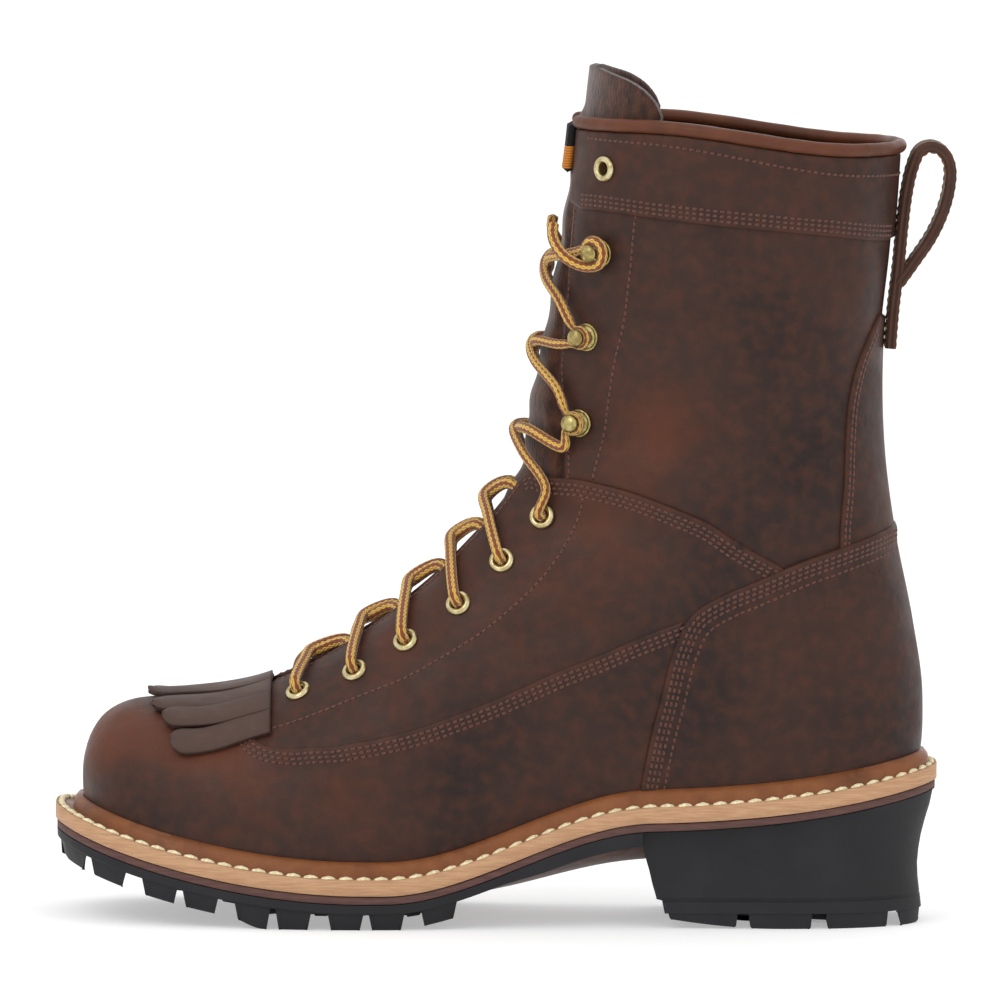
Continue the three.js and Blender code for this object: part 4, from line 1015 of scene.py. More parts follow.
@dataclass(frozen=True)
class RubberFinish:
    """Moulded rubber with a dull skin, fine pits and pale dust in patches and specks."""

    name: str
    body: Colour
    dust: Colour
    roughness: float = 0.62

    def build(self) -> bpy.types.Material:
        """Make the material."""
        n = Nodes(self.name)
        cloud = n.noise(24.0, 5.0)
        speck = n.noise(0.6, 3.0)
        colour = n.mix(n.span(cloud, 0.35, 0.75, 0.0, 0.5), self.body, self.dust)
        colour = n.mix(n.span(speck, 0.55, 0.8, 0.0, 0.4), colour, self.dust)
        n.bump([(n.noise(2.5, 4.0), 0.10), (speck, 0.06)])
        rough = n.span(cloud, 0.3, 0.7, self.roughness - 0.06, self.roughness + 0.1)
        return n.finish(colour, rough, specular_ior_level=0.3)


@dataclass(frozen=True)
class BrassFinish:
    """Plated metal, brighter and duller in patches."""

    name: str
    bright: Colour
    dull: Colour
    roughness: float

    def build(self) -> bpy.types.Material:
        """Make the material."""
        n = Nodes(self.name)
        cloud = n.noise(2.2, 5.0)
        fine = n.noise(0.35, 3.0)
        colour = n.mix(n.span(cloud, 0.35, 0.65), self.bright, self.dull)
        n.bump([(fine, 0.015)])
        rough = n.span(cloud, 0.3, 0.7, self.roughness - 0.06, self.roughness + 0.12)
        return n.finish(colour, rough, metallic=1.0)


@dataclass(frozen=True)
class BraidFinish:
    """Round braided yarn, with some of its yarns in a second colour, and painted shade in the grooves between
    the yarns.
    """

    name: str
    yarn: Colour
    light: Colour
    stripe: Colour
    yarns: int = 7
    pitch: float = 2.3

    def build(self) -> bpy.types.Material:
        """Make the material."""
        n = Nodes(self.name)
        along = n.sum("DIVIDE", n.mark("along"), self.pitch)
        around = n.sum("MULTIPLY", n.mark("around"), float(self.yarns))
        first, second = n.sum("ADD", along, around), n.sum("SUBTRACT", along, around)
        pillow = n.sum(
            "MULTIPLY",
            n.sum("SINE", n.sum("MULTIPLY", n.sum("FRACT", first), math.pi)),
            n.sum("SINE", n.sum("MULTIPLY", n.sum("FRACT", second), math.pi)),
        )
        column = n.sum("SUBTRACT", n.sum("FLOOR", first), n.sum("FLOOR", second))
        striped = n.sum("LESS_THAN", n.sum("PINGPONG", n.sum("ADD", column, 1.0), 3.0), 1.25)
        fibre = n.noise(0.25, 2.0)
        colour = n.mix(n.span(fibre, 0.3, 0.7), self.yarn, self.light)
        colour = n.mix(striped, colour, self.stripe)
        # Painted shade: the grooves between the yarns, where the pillow is low, are darkened towards half the
        # stripe colour.
        colour = n.mix(n.span(pillow, 0.0, 0.32, 0.6, 0.0), colour, tuple(c // 2 for c in self.stripe))
        n.bump([(pillow, 0.45), (fibre, 0.06)])
        return n.finish(colour, 0.72, specular_ior_level=0.3, sheen_weight=0.3)


@dataclass(frozen=True)
class ThreadFinish:
    """Twisted sewing thread, or near-black marks painted as the shade in needle holes."""

    name: str
    dark: Colour
    light: Colour
    size: float = 0.5

    def build(self) -> bpy.types.Material:
        """Make the material."""
        n = Nodes(self.name)
        twist = n.noise(self.size, 2.0)
        colour = n.mix(n.span(twist, 0.3, 0.7), self.dark, self.light)
        n.bump([(twist, 0.12)])
        return n.finish(colour, 0.7, specular_ior_level=0.3, sheen_weight=0.2)


@dataclass(frozen=True)
class WeaveFinish:
    """Plain woven cloth with a band of a second colour between two heights, and painted shade in the troughs of
    its ribs.
    """

    name: str
    body: Colour
    band: Colour
    band_low: float
    band_high: float
    rib: float = 0.9

    def build(self) -> bpy.types.Material:
        """Make the material."""
        n = Nodes(self.name)
        height = n.add("ShaderNodeSeparateXYZ")
        n.feed(n.where, height.inputs[0])
        z = height.outputs["Z"]
        above, under = n.sum("GREATER_THAN", z, self.band_low * MM), n.sum("LESS_THAN", z, self.band_high * MM)
        in_band = n.sum("MULTIPLY", above, under)
        ribs = n.sum("SINE", n.sum("MULTIPLY", z, TURN / (self.rib * MM)))
        colour = n.mix(in_band, self.body, self.band)
        # Painted shade: the troughs of the ribs are darkened towards near-black.
        colour = n.mix(n.span(ribs, -1.0, 0.4, 0.45, 0.0), colour, (12, 12, 12))
        n.bump([(ribs, 0.12), (n.noise(0.4, 2.0), 0.08)])
        return n.finish(colour, 0.85, specular_ior_level=0.25)


@dataclass(frozen=True)
class FloorFinish:
    """Pale painted studio floor, which may glow."""

    name: str
    body: Colour
    glow: float = 0.0

    def build(self) -> bpy.types.Material:
        """Make the material."""
        n = Nodes(self.name)
        cloud = n.noise(300.0, 2.0)
        colour = n.mix(n.span(cloud, 0.3, 0.7), self.body, tuple(c - 3 for c in self.body))
        white = (1.0, 1.0, 1.0, 1.0)
        glow = {"emission_color": white, "emission_strength": self.glow}
        return n.finish(colour, 0.8, specular_ior_level=0.1, **glow)


FINISHES = [
    LeatherFinish("boot_leather", (30, 21, 20), (54, 34, 27), (92, 48, 29), (76, 44, 30)),
    LeatherFinish("fringe_leather", (52, 39, 36), (76, 57, 50), (94, 70, 59), (60, 42, 36), 0.55),
    LeatherFinish("binding_leather", (64, 35, 23), (92, 51, 33), (112, 64, 40), (70, 40, 28), 0.45, 0.03, 30.0),
    LeatherFinish("welt_leather", (88, 50, 28), (122, 72, 40), (146, 92, 54), (104, 60, 34), 0.42, 0.04, 22.0),
    LeatherFinish("insole_leather", (120, 82, 54), (152, 108, 76), (170, 126, 90), (120, 82, 54), 0.65),
    LeatherFinish("loop_leather", (40, 28, 24), (62, 41, 33), (90, 57, 42), (80, 52, 40), 0.55),
    SuedeFinish("suede", (46, 27, 20), (84, 50, 35)),
    SuedeFinish("lining_suede", (70, 46, 36), (98, 66, 50), 0.12),
    EdgeFinish("tan_leather", (172, 130, 96), (192, 150, 114), 0.5, 0.62, 0.03),
    EdgeFinish("brown_rubber", (80, 54, 50), (96, 66, 60), 0.8, 0.7, 0.03),
    RubberFinish("black_rubber", (24, 24, 27), (46, 46, 49)),
    BrassFinish("eyelet_brass", (212, 200, 158), (176, 160, 112), 0.30),
    BrassFinish("hook_brass", (186, 170, 112), (140, 122, 76), 0.34),
    BraidFinish("lace_yarn", (236, 176, 48), (252, 214, 96), (150, 66, 26)),
    ThreadFinish("dark_thread", (72, 40, 30), (108, 64, 48)),
    # Painted shade: near-black marks at the stitch ends stand for the shade inside the needle's holes.
    ThreadFinish("needle_hole", (16, 9, 8), (24, 14, 12)),
    ThreadFinish("cream_thread", (206, 190, 146), (240, 228, 190), 0.9),
    ThreadFinish("gold_thread", (150, 110, 60), (184, 140, 80), 0.9),
    WeaveFinish("patch_weave", (26, 25, 26), (206, 126, 44), 268.0, 276.0),
    FloorFinish("floor_paint", (215, 215, 215), 0.4),
]


class ToeChart(Chart):
    """Flat map that fans out from the tip of the toe, for a piece that wraps round it."""

    def flat(self, line: Array) -> Array:
        """Lay places and turns out flat."""
        turn = line[:, 1] - self.middle
        along = np.interp(line[:, 0], self.places, self.reach)
        return np.stack([along * np.cos(turn), along * np.sin(turn)], axis=1)

    def spot(self, flat: Array) -> Array:
        """Find the places and turns of flat points."""
        place = np.interp(np.hypot(flat[:, 0], flat[:, 1]), self.reach, self.places)
        return np.stack([place, self.middle + np.arctan2(flat[:, 1], flat[:, 0])], axis=1)


def route(*parts: Array) -> Array:
    """Join lines of places and turns end to end, without doubled points."""
    line = np.vstack(parts)
    keep = np.ones(len(line), bool)
    keep[1:] = np.abs(np.diff(line, axis=0)).sum(1) > 0.004
    return line[keep]


@dataclass(frozen=True)
class Row:
    """A row of stitches beside a line on a panel."""

    line: Array
    side: Side
    asides: tuple[float, ...]
    panel: Panel


class Upper:
    """The leathers of the upper: vamp, quarters, counter, shaft, band, backstay and lining."""

    def __init__(self, last: Last, leather: LeatherSizes) -> None:
        """Keep the last and lay out the charts."""
        self.last = last
        self.leather = leather
        self.back = Chart(last, 0.0)
        self.rows: list[Row] = []
        self.creases = self._creases()

    def _crease(self, rows: Rows, side: Side, height: float, width: float) -> Fold:
        """Lay a soft ridge or trough along a line of the side view."""
        line = self.last.side_line(rows, side)
        return Fold(self.last.bare_point(line[:, 0], line[:, 1]), height, width)

    def _creases(self) -> list[Fold]:
        """Wear creases where the boot bends, as listed."""
        return [
            self._crease(rows, side, height * share, width)
            for rows, height, width in CREASES
            for side, share in ((Side.OUTER, 1.0), (Side.INNER, 0.8))
        ]

    def throat_line(self, start: float, end: float, side: Side, out: float = 0.0) -> Array:
        """Edge of the throat between two places."""
        place = np.linspace(start, end, max(2, int(abs(end - start) * 9)))
        across = -side.value * (self.last.throat_half(place) + out)
        return np.stack([place, self.last.turn_across(place, across)], axis=1)

    def open_throat(self, start: float, side: Side) -> Array:
        """Edge of the throat from a place up to just under the collar's roll."""
        throat = self.throat_line(start, THROAT_TOP, side)
        return throat[throat[:, 0] < self.last.collar_place(throat[:, 1], UNDER_ROLL)]

    def site_spots(self, first: int, last_one: int, side: Side) -> list[Array]:
        """Places and turns of the holes for a run of lacing sites."""
        spots = [self.last.place_of(share, level, side) for _, share, level in LACING[first:last_one]]
        return [np.stack(spot, axis=1)[0] for spot in spots]

    def collar_line(self, start: float, end: float, below: float, count: int = 60) -> Array:
        """Line round the collar, a distance below its edge, between two turns."""
        turn = np.linspace(start, end, count)
        return np.stack([self.last.collar_place(turn, below), turn], axis=1)

    def vamp(self) -> Panel:
        """Vamp: wraps round the toe and laps over the quarters and up to the facing's lower front corner."""
        last = self.last
        share = 0.003 + (0.664 - 0.003) * (0.5 - 0.5 * np.cos(np.linspace(0.12, math.pi, 90)))
        level = np.full(len(share), 0.02)
        bottom = {side: np.stack(last.place_of(share, level, side), axis=1) for side in Side}
        edge = {side: last.side_line(VAMP_EDGE, side) for side in Side}
        end = {side: last.side_line([VAMP_EDGE[-1]] + VAMP_END, side) for side in Side}
        front = edge[Side.OUTER][0]
        over = np.linspace(front[1], TURN - front[1], 24)
        top = np.stack([np.full(len(over), front[0]), over], axis=1)
        outline = route(
            bottom[Side.OUTER], end[Side.OUTER][::-1], edge[Side.OUTER][::-1], top[1:-1],
            edge[Side.INNER], end[Side.INNER], bottom[Side.INNER][::-1],
        )
        height, width = self.leather.lap_height, self.leather.lap_width
        folds = [Fold(last.bare_point(*edge[side][6:].T), height, width, FoldShape.LAP) for side in Side]
        folds += self.creases
        panel = Panel("vamp_leather", outline, ToeChart(last, math.pi), 0.0, folds, spacing=3.0)
        for side in Side:
            self.rows.append(Row(edge[side], side, tuple(-row for row in THREE_ROWS), panel))
        return panel

    def quarter(self, side: Side) -> Panel:
        """Quarter: the facing and the side, lapped by the vamp and the counter."""
        last = self.last
        low = last.side_line([(s, level - 0.024) for s, level in VAMP_EDGE[7:-1]] + QUARTER_BACK[:1], side)
        back = last.side_line(QUARTER_BACK, side)
        top = last.side_line(QUARTER_TOP[::-1], side)
        throat = self.throat_line(top[-1][0] - 0.15, 6.95, side)
        front = last.side_line(FACING_FRONT + FACING_TUCK, side)
        outline = route(low, back[1:], top, throat, front)
        chart = Chart(last, side.value * 2.2)
        sites = self.site_spots(0, 6, side)
        panel = Panel(f"{side.name.lower()}_quarter", outline, chart, 0.0, self.creases, sites)
        self.rows.append(Row(top, side, THREE_ROWS, panel))
        self.rows.append(Row(throat[::-1], side, (-2.3,), panel))
        self.rows.append(Row(front[:-26], side, (2.2, 3.9), panel))
        self.rows.append(Row(last.side_line(QUARTER_ROW, side), side, (0.0,), panel))
        return panel

    def counter(self) -> Panel:
        """Counter: wraps the heel and laps over the quarters."""
        last = self.last
        edge = {side: last.side_line(COUNTER_EDGE, side) for side in Side}
        share = np.linspace(0.664, 0.985, 60)
        bottom = {side: np.stack(last.place_of(share, np.full(60, 0.02), side), axis=1) for side in Side}
        outline = route(edge[Side.OUTER], edge[Side.INNER][::-1], bottom[Side.INNER], bottom[Side.OUTER][::-1])
        lines = np.vstack([last.bare_point(*edge[side].T) for side in Side])
        folds = [Fold(lines, self.leather.counter_lap, self.leather.lap_width, FoldShape.LAP)] + self.creases
        panel = Panel("counter_leather", outline, self.back, 0.0, folds)
        for side in Side:
            self.rows.append(Row(edge[side], side, (-2.2, -3.9, -5.6, -8.4), panel))
        return panel

    @staticmethod
    def _round_the_top(low: dict[Side, Array], throat: dict[Side, Array], collar: Array) -> Array:
        """Outline of a panel between its low edges, the throat and the collar."""
        outer, inner = Side.OUTER, Side.INNER
        return route(low[outer], low[inner][::-1], throat[inner], collar[::-1], throat[outer][::-1])

    def shaft(self) -> Panel:
        """Shaft: rises from under the quarters and the counter to the collar."""
        last = self.last
        tucked = [(share, level - 0.03) for share, level in QUARTER_TOP[1:] + COUNTER_EDGE[7:]]
        low = {side: last.side_line(tucked, side) for side in Side}
        ends = [self.throat_line(12.9, THROAT_TOP, side)[-1][1] for side in Side]
        collar = self.collar_line(*ends, self.leather.binding_height, 90)
        keep = {side: self.open_throat(12.9, side) for side in Side}
        outline = self._round_the_top(low, keep, collar)
        sites = self.site_spots(9, 10, Side.OUTER) + self.site_spots(9, 10, Side.INNER)
        panel = Panel("shaft_leather", outline, self.back, self.leather.shell_out, self.creases, sites)
        for side in Side:
            self.rows.append(Row(last.side_line(FACING_ROW, side), side, (0.0,), panel))
            self.rows.append(Row(keep[side][6:], side, (-2.3,), panel))
        return panel

    def band(self) -> Panel:
        """Band round the top of the shaft."""
        last = self.last
        low = {side: last.side_line(BAND_EDGE, side) for side in Side}
        keep = {side: self.open_throat(low[side][0][0], side) for side in Side}
        ends = [keep[side][-1][1] for side in Side]
        collar = self.collar_line(*ends, self.leather.binding_height, 90)
        outline = self._round_the_top(low, keep, collar)
        sites = self.site_spots(9, 10, Side.OUTER) + self.site_spots(9, 10, Side.INNER)
        panel = Panel("top_band", outline, self.back, 0.0, self.creases, sites)
        for side in Side:
            self.rows.append(Row(low[side], side, (2.0, 3.7, 5.4), panel))
        self.rows.append(Row(collar[4:-4] - [0.22, 0.0], Side.OUTER, (0.0,), panel))
        return panel

    def backstay(self) -> Panel:
        """Strip up the back, from under the counter to the strap of the pull loop."""
        last = self.last
        edge = {side: last.side_line([(0.897, 0.610)] + BACKSTAY_EDGE, side) for side in Side}
        outline = route(edge[Side.OUTER], edge[Side.INNER][::-1])
        panel = Panel("backstay_strip", outline, self.back, 0.0, self.creases, spacing=1.8)
        for side in Side:
            self.rows.append(Row(edge[side][3:-3], side, (-1.6, -3.3), panel))
        return panel

    def lining(self) -> Piece:
        """Inside of the shaft and the back of the foot."""
        last = self.last
        half = self.throat_line(8.0, 21.4, Side.OUTER, 2.5)
        rows = []
        for start, limit in half:
            turn = np.linspace(limit, -limit, 75)
            top = last.collar_place(turn, self.leather.binding_height + 0.5)
            rows.append(np.stack([np.minimum(start, top), turn], axis=1))
        spots = np.vstack(rows)
        points = last.point(spots[:, 0], spots[:, 1], self.leather.shell_in)
        faces = [face[::-1] for face in grid_faces(len(rows), 75)]
        return Piece("lining", points, faces, "lining_suede", "suede", blank_marks(len(points)))

    def tone(self, points: Array) -> Array:
        """Warm and dark places of the leather, chosen from the photo."""
        total = np.zeros(len(points))
        for share, level, radius, amount in TONES:
            x = float(self.last.along(share))
            z = float(self.last.height(x, level))
            reach = np.hypot(points[:, 0] - x, points[:, 2] - z) / radius
            total += amount * np.exp(-reach ** 2)
        return total

    def sew(self) -> None:
        """Lay every row of stitches, with near-black marks between them painted as the shade in the needle's
        holes.
        """
        lines = []
        for row in self.rows:
            for distance in row.asides:
                line = self.last.aside(row.line, distance * row.side.value, False) if distance else row.line
                bare = self.last.bare_point(*line.T)
                folded = sum((fold.lift(bare) for fold in row.panel.folds), np.zeros(len(bare)))
                lift = row.panel.level + folded
                lines.append((self.last.point(*line.T, lift), self.last.normal(*line.T)))
        half = len(lines) // 2
        for name, some in (("front", lines[:half]), ("rear", lines[half:])):
            thread = Seam(2.5, 2.1, 1.0, 0.85, 0.10)
            thread.sew(some, f"{name}_stitches", "dark_thread", "boot_leather").place()
            # Flat near-black marks at the stitch ends: painted shade in the needle's holes, not open holes.
            holes = Seam(2.5, 0.6, 0.9, 0.2, sides=5, shift=0.0)
            holes.sew(some, f"{name}_holes", "needle_hole", "boot_leather").place()

    def place(self) -> None:
        """Put every leather of the upper into the scene."""
        panels = [(self.vamp(), ())]
        panels += [(self.quarter(side), (f"quarter_{side.name.lower()}",)) for side in Side]
        panels += [
            (self.counter(), ("counter",)), (self.shaft(), ("upper",)), (self.band(), ("shaft_band",)),
            (self.backstay(), ("backstay",)),
        ]
        for panel, nodes in panels:
            panel.build(self.last, self.tone).place(nodes)
        self.lining().place()
        self.sew()


# Creases: points of the side view, height (below 0 for a trough) and width in millimetres.
CREASES = [
    ([(0.255, 0.30), (0.285, 0.22), (0.330, 0.15)], -0.9, 4.5),
    ([(0.300, 0.33), (0.330, 0.24), (0.372, 0.16)], -1.0, 5.0),
    ([(0.275, 0.31), (0.306, 0.23), (0.350, 0.15)], 0.7, 4.5),
    ([(0.345, 0.35), (0.372, 0.27), (0.410, 0.18)], -0.8, 5.0),
    ([(0.420, 0.62), (0.500, 0.55), (0.580, 0.52)], -0.9, 6.0),
    ([(0.560, 0.83), (0.640, 0.76), (0.720, 0.70)], -1.2, 6.5),
    ([(0.580, 0.92), (0.660, 0.86), (0.740, 0.81), (0.830, 0.79)], 1.1, 7.0),
    ([(0.600, 1.02), (0.690, 0.96), (0.780, 0.93), (0.860, 0.94)], -1.3, 6.5),
    ([(0.640, 1.20), (0.730, 1.14), (0.820, 1.13)], 0.9, 8.0),
    ([(0.650, 1.34), (0.740, 1.28), (0.850, 1.28)], -0.9, 8.0),
]
# Tones: station, level, radius in millimetres, and how warm (above 0) or dark it is there.
TONES = [
    (0.02, 0.26, 20, 0.55), (0.08, 0.14, 16, -0.30), (0.13, 0.30, 20, 0.40),
    (0.20, 0.26, 30, 0.25), (0.34, 0.30, 26, 0.25), (0.45, 0.22, 40, -0.20),
    (0.60, 0.20, 36, 0.10), (0.80, 0.30, 45, -0.20), (0.92, 0.45, 30, 0.25), (0.36, 0.50, 24, 0.20),
    (0.50, 0.60, 28, 0.25), (0.60, 0.75, 26, 0.30), (0.72, 0.62, 30, -0.15), (0.72, 0.95, 32, 0.35),
    (0.85, 0.90, 28, -0.20), (0.70, 1.30, 36, 0.15), (0.85, 1.35, 36, -0.20), (0.70, 1.75, 26, 0.20),
]


def slab(name: str, outer: Array, inner: Array, finish: str, slot: str) -> Piece:
    """Close two grids of points into a thin body with a rounded edge.

    Args:
        name: Name of the piece.
        outer: Rows and columns of points on the outside.
        inner: The same on the inside.
        finish: Name of the material.
        slot: Slot of the record.

    Returns:
        The body, marked with the distance from its edge.
    """
    rows, columns = outer.shape[:2]
    count = rows * columns
    border = list(range(columns)) + [i * columns + columns - 1 for i in range(1, rows)]
    border += [(rows - 1) * columns + j for j in range(columns - 2, -1, -1)]
    border += [i * columns for i in range(rows - 2, 0, -1)]
    top, under = outer.reshape(-1, 3), inner.reshape(-1, 3)
    wall = top[border] - under[border]
    middle = (top[border] + under[border]) / 2
    run = unit(np.roll(middle, -1, axis=0) - np.roll(middle, 1, axis=0))
    bulge = middle + np.cross(wall, run) * 0.35
    faces = [face[::-1] for face in grid_faces(rows, columns)]
    faces += [tuple(count + v for v in face) for face in grid_faces(rows, columns)]
    ring = [2 * count + k for k in range(len(border))]
    for k in range(len(border)):
        n = (k + 1) % len(border)
        faces.append((border[k], border[n], ring[n], ring[k]))
        faces.append((ring[k], ring[n], count + border[n], count + border[k]))
    edge_line = top[border]
    reach = np.minimum(distance_to(top, edge_line), FAR_INSIDE)
    marks = blank_marks(2 * count + len(border))
    marks["edge"] = np.concatenate([reach, reach, np.zeros(len(border))])
    return Piece(name, np.vstack([top, under, bulge]), faces, finish, slot, marks)


class Fittings:
    """The soft parts on the upper: tongue, label, fringe, collar binding and pull loop."""

    def __init__(self, last: Last, leather: LeatherSizes, upper: Upper) -> None:
        """Keep the last and the upper."""
        self.last = last
        self.leather = leather
        self.upper = upper

    def _tongue_grid(self, offset: float, rows: int = 120, columns: int = 57) -> Array:
        """Points of the tongue at a level."""
        last = self.last
        low = np.array([last.place_of(s, level, Side.OUTER) for s, level in TONGUE_EDGE])[:, :, 0]
        top = last.side_line(TONGUE_TOP, Side.OUTER)
        across = np.linspace(-1, 1, columns)
        far = math.pi - top[0, 1]
        end = np.interp(np.abs(across) * far, math.pi - top[::-1, 1], top[::-1, 0])
        share = np.linspace(0, 1, rows)[:, None]
        place = 6.9 + (end[None, :] - 6.9) * share
        half = math.pi - np.interp(place, low[:, 0], low[:, 1])
        turn = math.pi - across[None, :] * half
        edge, centre = (last.bare_point(place.ravel(), part)[:, 1] for part in (turn.ravel(), math.pi))
        width = np.abs(edge - centre).reshape(place.shape)
        opening = last.throat_half(place.ravel()).reshape(place.shape)
        raised = smooth_step((opening - width - 0.6) / 4.0) * smooth_step((place - 13.2) / 1.0)
        free = smooth_step((place - 20.6) / 0.8)
        level = offset + 2.4 * np.maximum(raised, 0.0) * (1 - free)
        level = level + 0.5 * np.sin(place * 5.2) * (1 - free) * smooth_step((place - 8) / 3)
        return last.point(place.ravel(), turn.ravel(), level.ravel()).reshape(rows, columns, 3)

    def tongue(self) -> Piece:
        """Tongue with its rounded top above the collar."""
        low = -self.leather.tongue
        outer = self._tongue_grid(self.leather.shell_in - 0.3)
        inner = self._tongue_grid(self.leather.shell_in - 0.3 + low)
        return slab("tongue_leather", outer, inner, "suede", "suede")

    def label(self) -> Piece:
        """Plain woven label on the front of the tongue."""
        last = self.last
        place = np.linspace(19.45, 20.65, 20)[:, None]
        turn = np.linspace(math.pi - 0.16, math.pi + 0.16, 25)[None, :]
        place, turn = (part.ravel() for part in np.broadcast_arrays(place, turn))
        grids = [last.point(place, turn, level).reshape(20, 25, 3) for level in (2.4, -0.6)]
        return slab("plain_label", grids[0], grids[1], "patch_weave", "suede")

    def binding(self) -> Piece:
        """Rolled edge round the collar."""
        start = self.upper.throat_line(20.4, 21.4, Side.OUTER)[-1][1] - 0.02
        line = self.upper.collar_line(start, -start, self.leather.binding_height / 2, 220)
        path = self.last.point(*line.T, self.leather.shell_in + 2.6)
        share = np.linspace(0, 1, len(path))
        radius = 2.35 * np.sqrt(np.clip(np.minimum(share, 1 - share) / 0.006, 0.15, 1))
        radius = radius * (1 + 0.02 * np.sin(share * 140))
        piece = tube("collar_roll", path, radius, "binding_leather", "binding_leather", 16, 1.0)
        piece.marks.update(blank_marks(len(piece.points)))
        return piece

    def fringe(self) -> Piece:
        """Strips of the fringe, which spread forward over the vamp from under the facings."""
        strips = []
        count = len(FRINGE_TIPS)
        width = 2 * FRINGE_SPREAD / count
        for i, tip in enumerate(FRINGE_TIPS):
            middle = math.pi - FRINGE_SPREAD + (i + 0.5) * width
            share = np.linspace(0, 1, 30)[:, None]
            across = np.linspace(-1, 1, 13)[None, :]
            place = np.repeat(FRINGE_ROOT + (tip - FRINGE_ROOT) * share, 13, axis=1)
            round_off = np.sqrt(np.clip(1 - (np.maximum(share - 0.84, 0) / 0.165) ** 2, 0.02, 1))
            waist = 1.04 - 0.09 * smooth_step((share - 0.4) / 0.3)
            sway = 0.02 * share ** 2 * math.sin(i * 1.9 + 0.6)
            fan = 1 + 0.2 * smooth_step(share)
            turn = math.pi + (middle - math.pi + across * width / 2 * round_off * waist) * fan + sway
            lift = 0.6 + (i % 2) * 0.7 * share + 1.3 * share ** 2 + 0.5 * share ** 5 * (1 + math.cos(i * 2.1))
            lift = lift - 0.9 * share * (across ** 2 - 0.4) + 0.4 * np.sin(share * 7 + i * 1.3) * share
            strips.append(slab("strip", *(
                self.last.point(place.ravel(), turn.ravel(), (lift + level).ravel()).reshape(30, 13, 3)
                for level in (1.5, 0.0)
            ), "fringe_leather", "fringe_leather"))
        return joined("fringe_lobes", strips, "fringe_leather", "fringe_leather")

    def _back_at(self, z: Array) -> Array:
        """X of the boot's back line at heights."""
        place = np.linspace(self.last.end - 9, self.last.end, 300)
        line = self.last.bare_point(place, 0.0)
        return np.interp(z, line[:, 2], line[:, 0])

    def loop(self) -> tuple[Piece, Piece]:
        """Pull loop of folded leather, with the stitches along its edges."""
        last = self.last
        top = float(last.collar_height(last.along(0.966))) - 2.5
        rows = np.array(LOOP_PATH)
        z = top - LOOP_HEIGHT * (1 - rows[:, 1])
        x = self._back_at(z) + 0.3 + 2.0 + rows[:, 0] * LOOP_REACH
        line = spline(np.stack([x, np.zeros(len(x)), z], axis=1), 1.2) + last.origin
        run = unit(np.gradient(line, axis=0))
        out = np.stack([run[:, 2], np.zeros(len(run)), -run[:, 0]], axis=1)
        side = np.array([0.0, 1.0, 0.0])
        half, wall = LOOP_WIDTH / 2, 1.9
        profile = [
            (-half, -wall * 0.5), (-half + 0.5, -wall), (0, -wall), (half - 0.5, -wall), (half, -wall * 0.5),
            (half - 0.35, 0), (half, wall * 0.5), (half - 0.5, wall), (0, wall), (-half + 0.5, wall),
            (-half, wall * 0.5), (-half + 0.35, 0),
        ]
        rings = [[spot + side * a + ahead * b for a, b in profile] for spot, ahead in zip(line, out)]
        points = np.array(rings).reshape(-1, 3)
        faces = grid_faces(len(line), len(profile), closed=True)
        faces += [tuple(range(len(profile)))[::-1], tuple(range(len(points) - len(profile), len(points)))]
        edge = np.tile([0, 0.6, 9, 0.6, 0, 0.3, 0, 0.6, 9, 0.6, 0, 0.3], len(line)).astype(float)
        marks = {"edge": edge, "tone": np.zeros(len(points))}
        piece = Piece("pull_strap", points, faces, "loop_leather", "boot_leather", marks, 40)
        rows_of_stitches = [
            (line + side * a + o_sign * out * wall, out * o_sign)
            for a in (-half + 2.0, half - 2.0) for o_sign in (1, -1)
        ]
        seam = Seam(3.0, 2.5, 0.8, 0.7).sew(rows_of_stitches, "loop_stitches", "gold_thread", "boot_leather")
        return piece, seam

    def place(self) -> None:
        """Put the soft parts into the scene."""
        self.tongue().place(["tongue"])
        self.label().place()
        self.binding().place(["collar_binding"])
        self.fringe().place(["fringe"])
        strap, seam = self.loop()
        strap.place(["pull_loop"])
        seam.place()


TONGUE_EDGE = [
    (0.320, 0.470), (0.420, 0.600), (0.500, 0.720), (0.565, 0.830), (0.610, 0.965), (0.640, 1.300),
    (0.655, 1.640), (0.675, 1.953),
]
FRINGE_ROOT = 6.9
FRINGE_SPREAD = 0.86
FRINGE_TIPS = [4.95, 4.75, 4.5, 4.38, 4.38, 4.5, 4.75, 4.95]
LOOP_REACH = 18.0
LOOP_HEIGHT = 72.0
LOOP_WIDTH = 19.0
LOOP_PATH = [
    (0.00, 0.00), (0.00, 0.20), (0.00, 0.40), (0.00, 0.60), (0.04, 0.78), (0.12, 0.90), (0.25, 0.98),
    (0.48, 1.00), (0.72, 0.97), (0.86, 0.90), (0.87, 0.80), (0.78, 0.68), (0.58, 0.55), (0.30, 0.43),
    (0.04, 0.32),
]


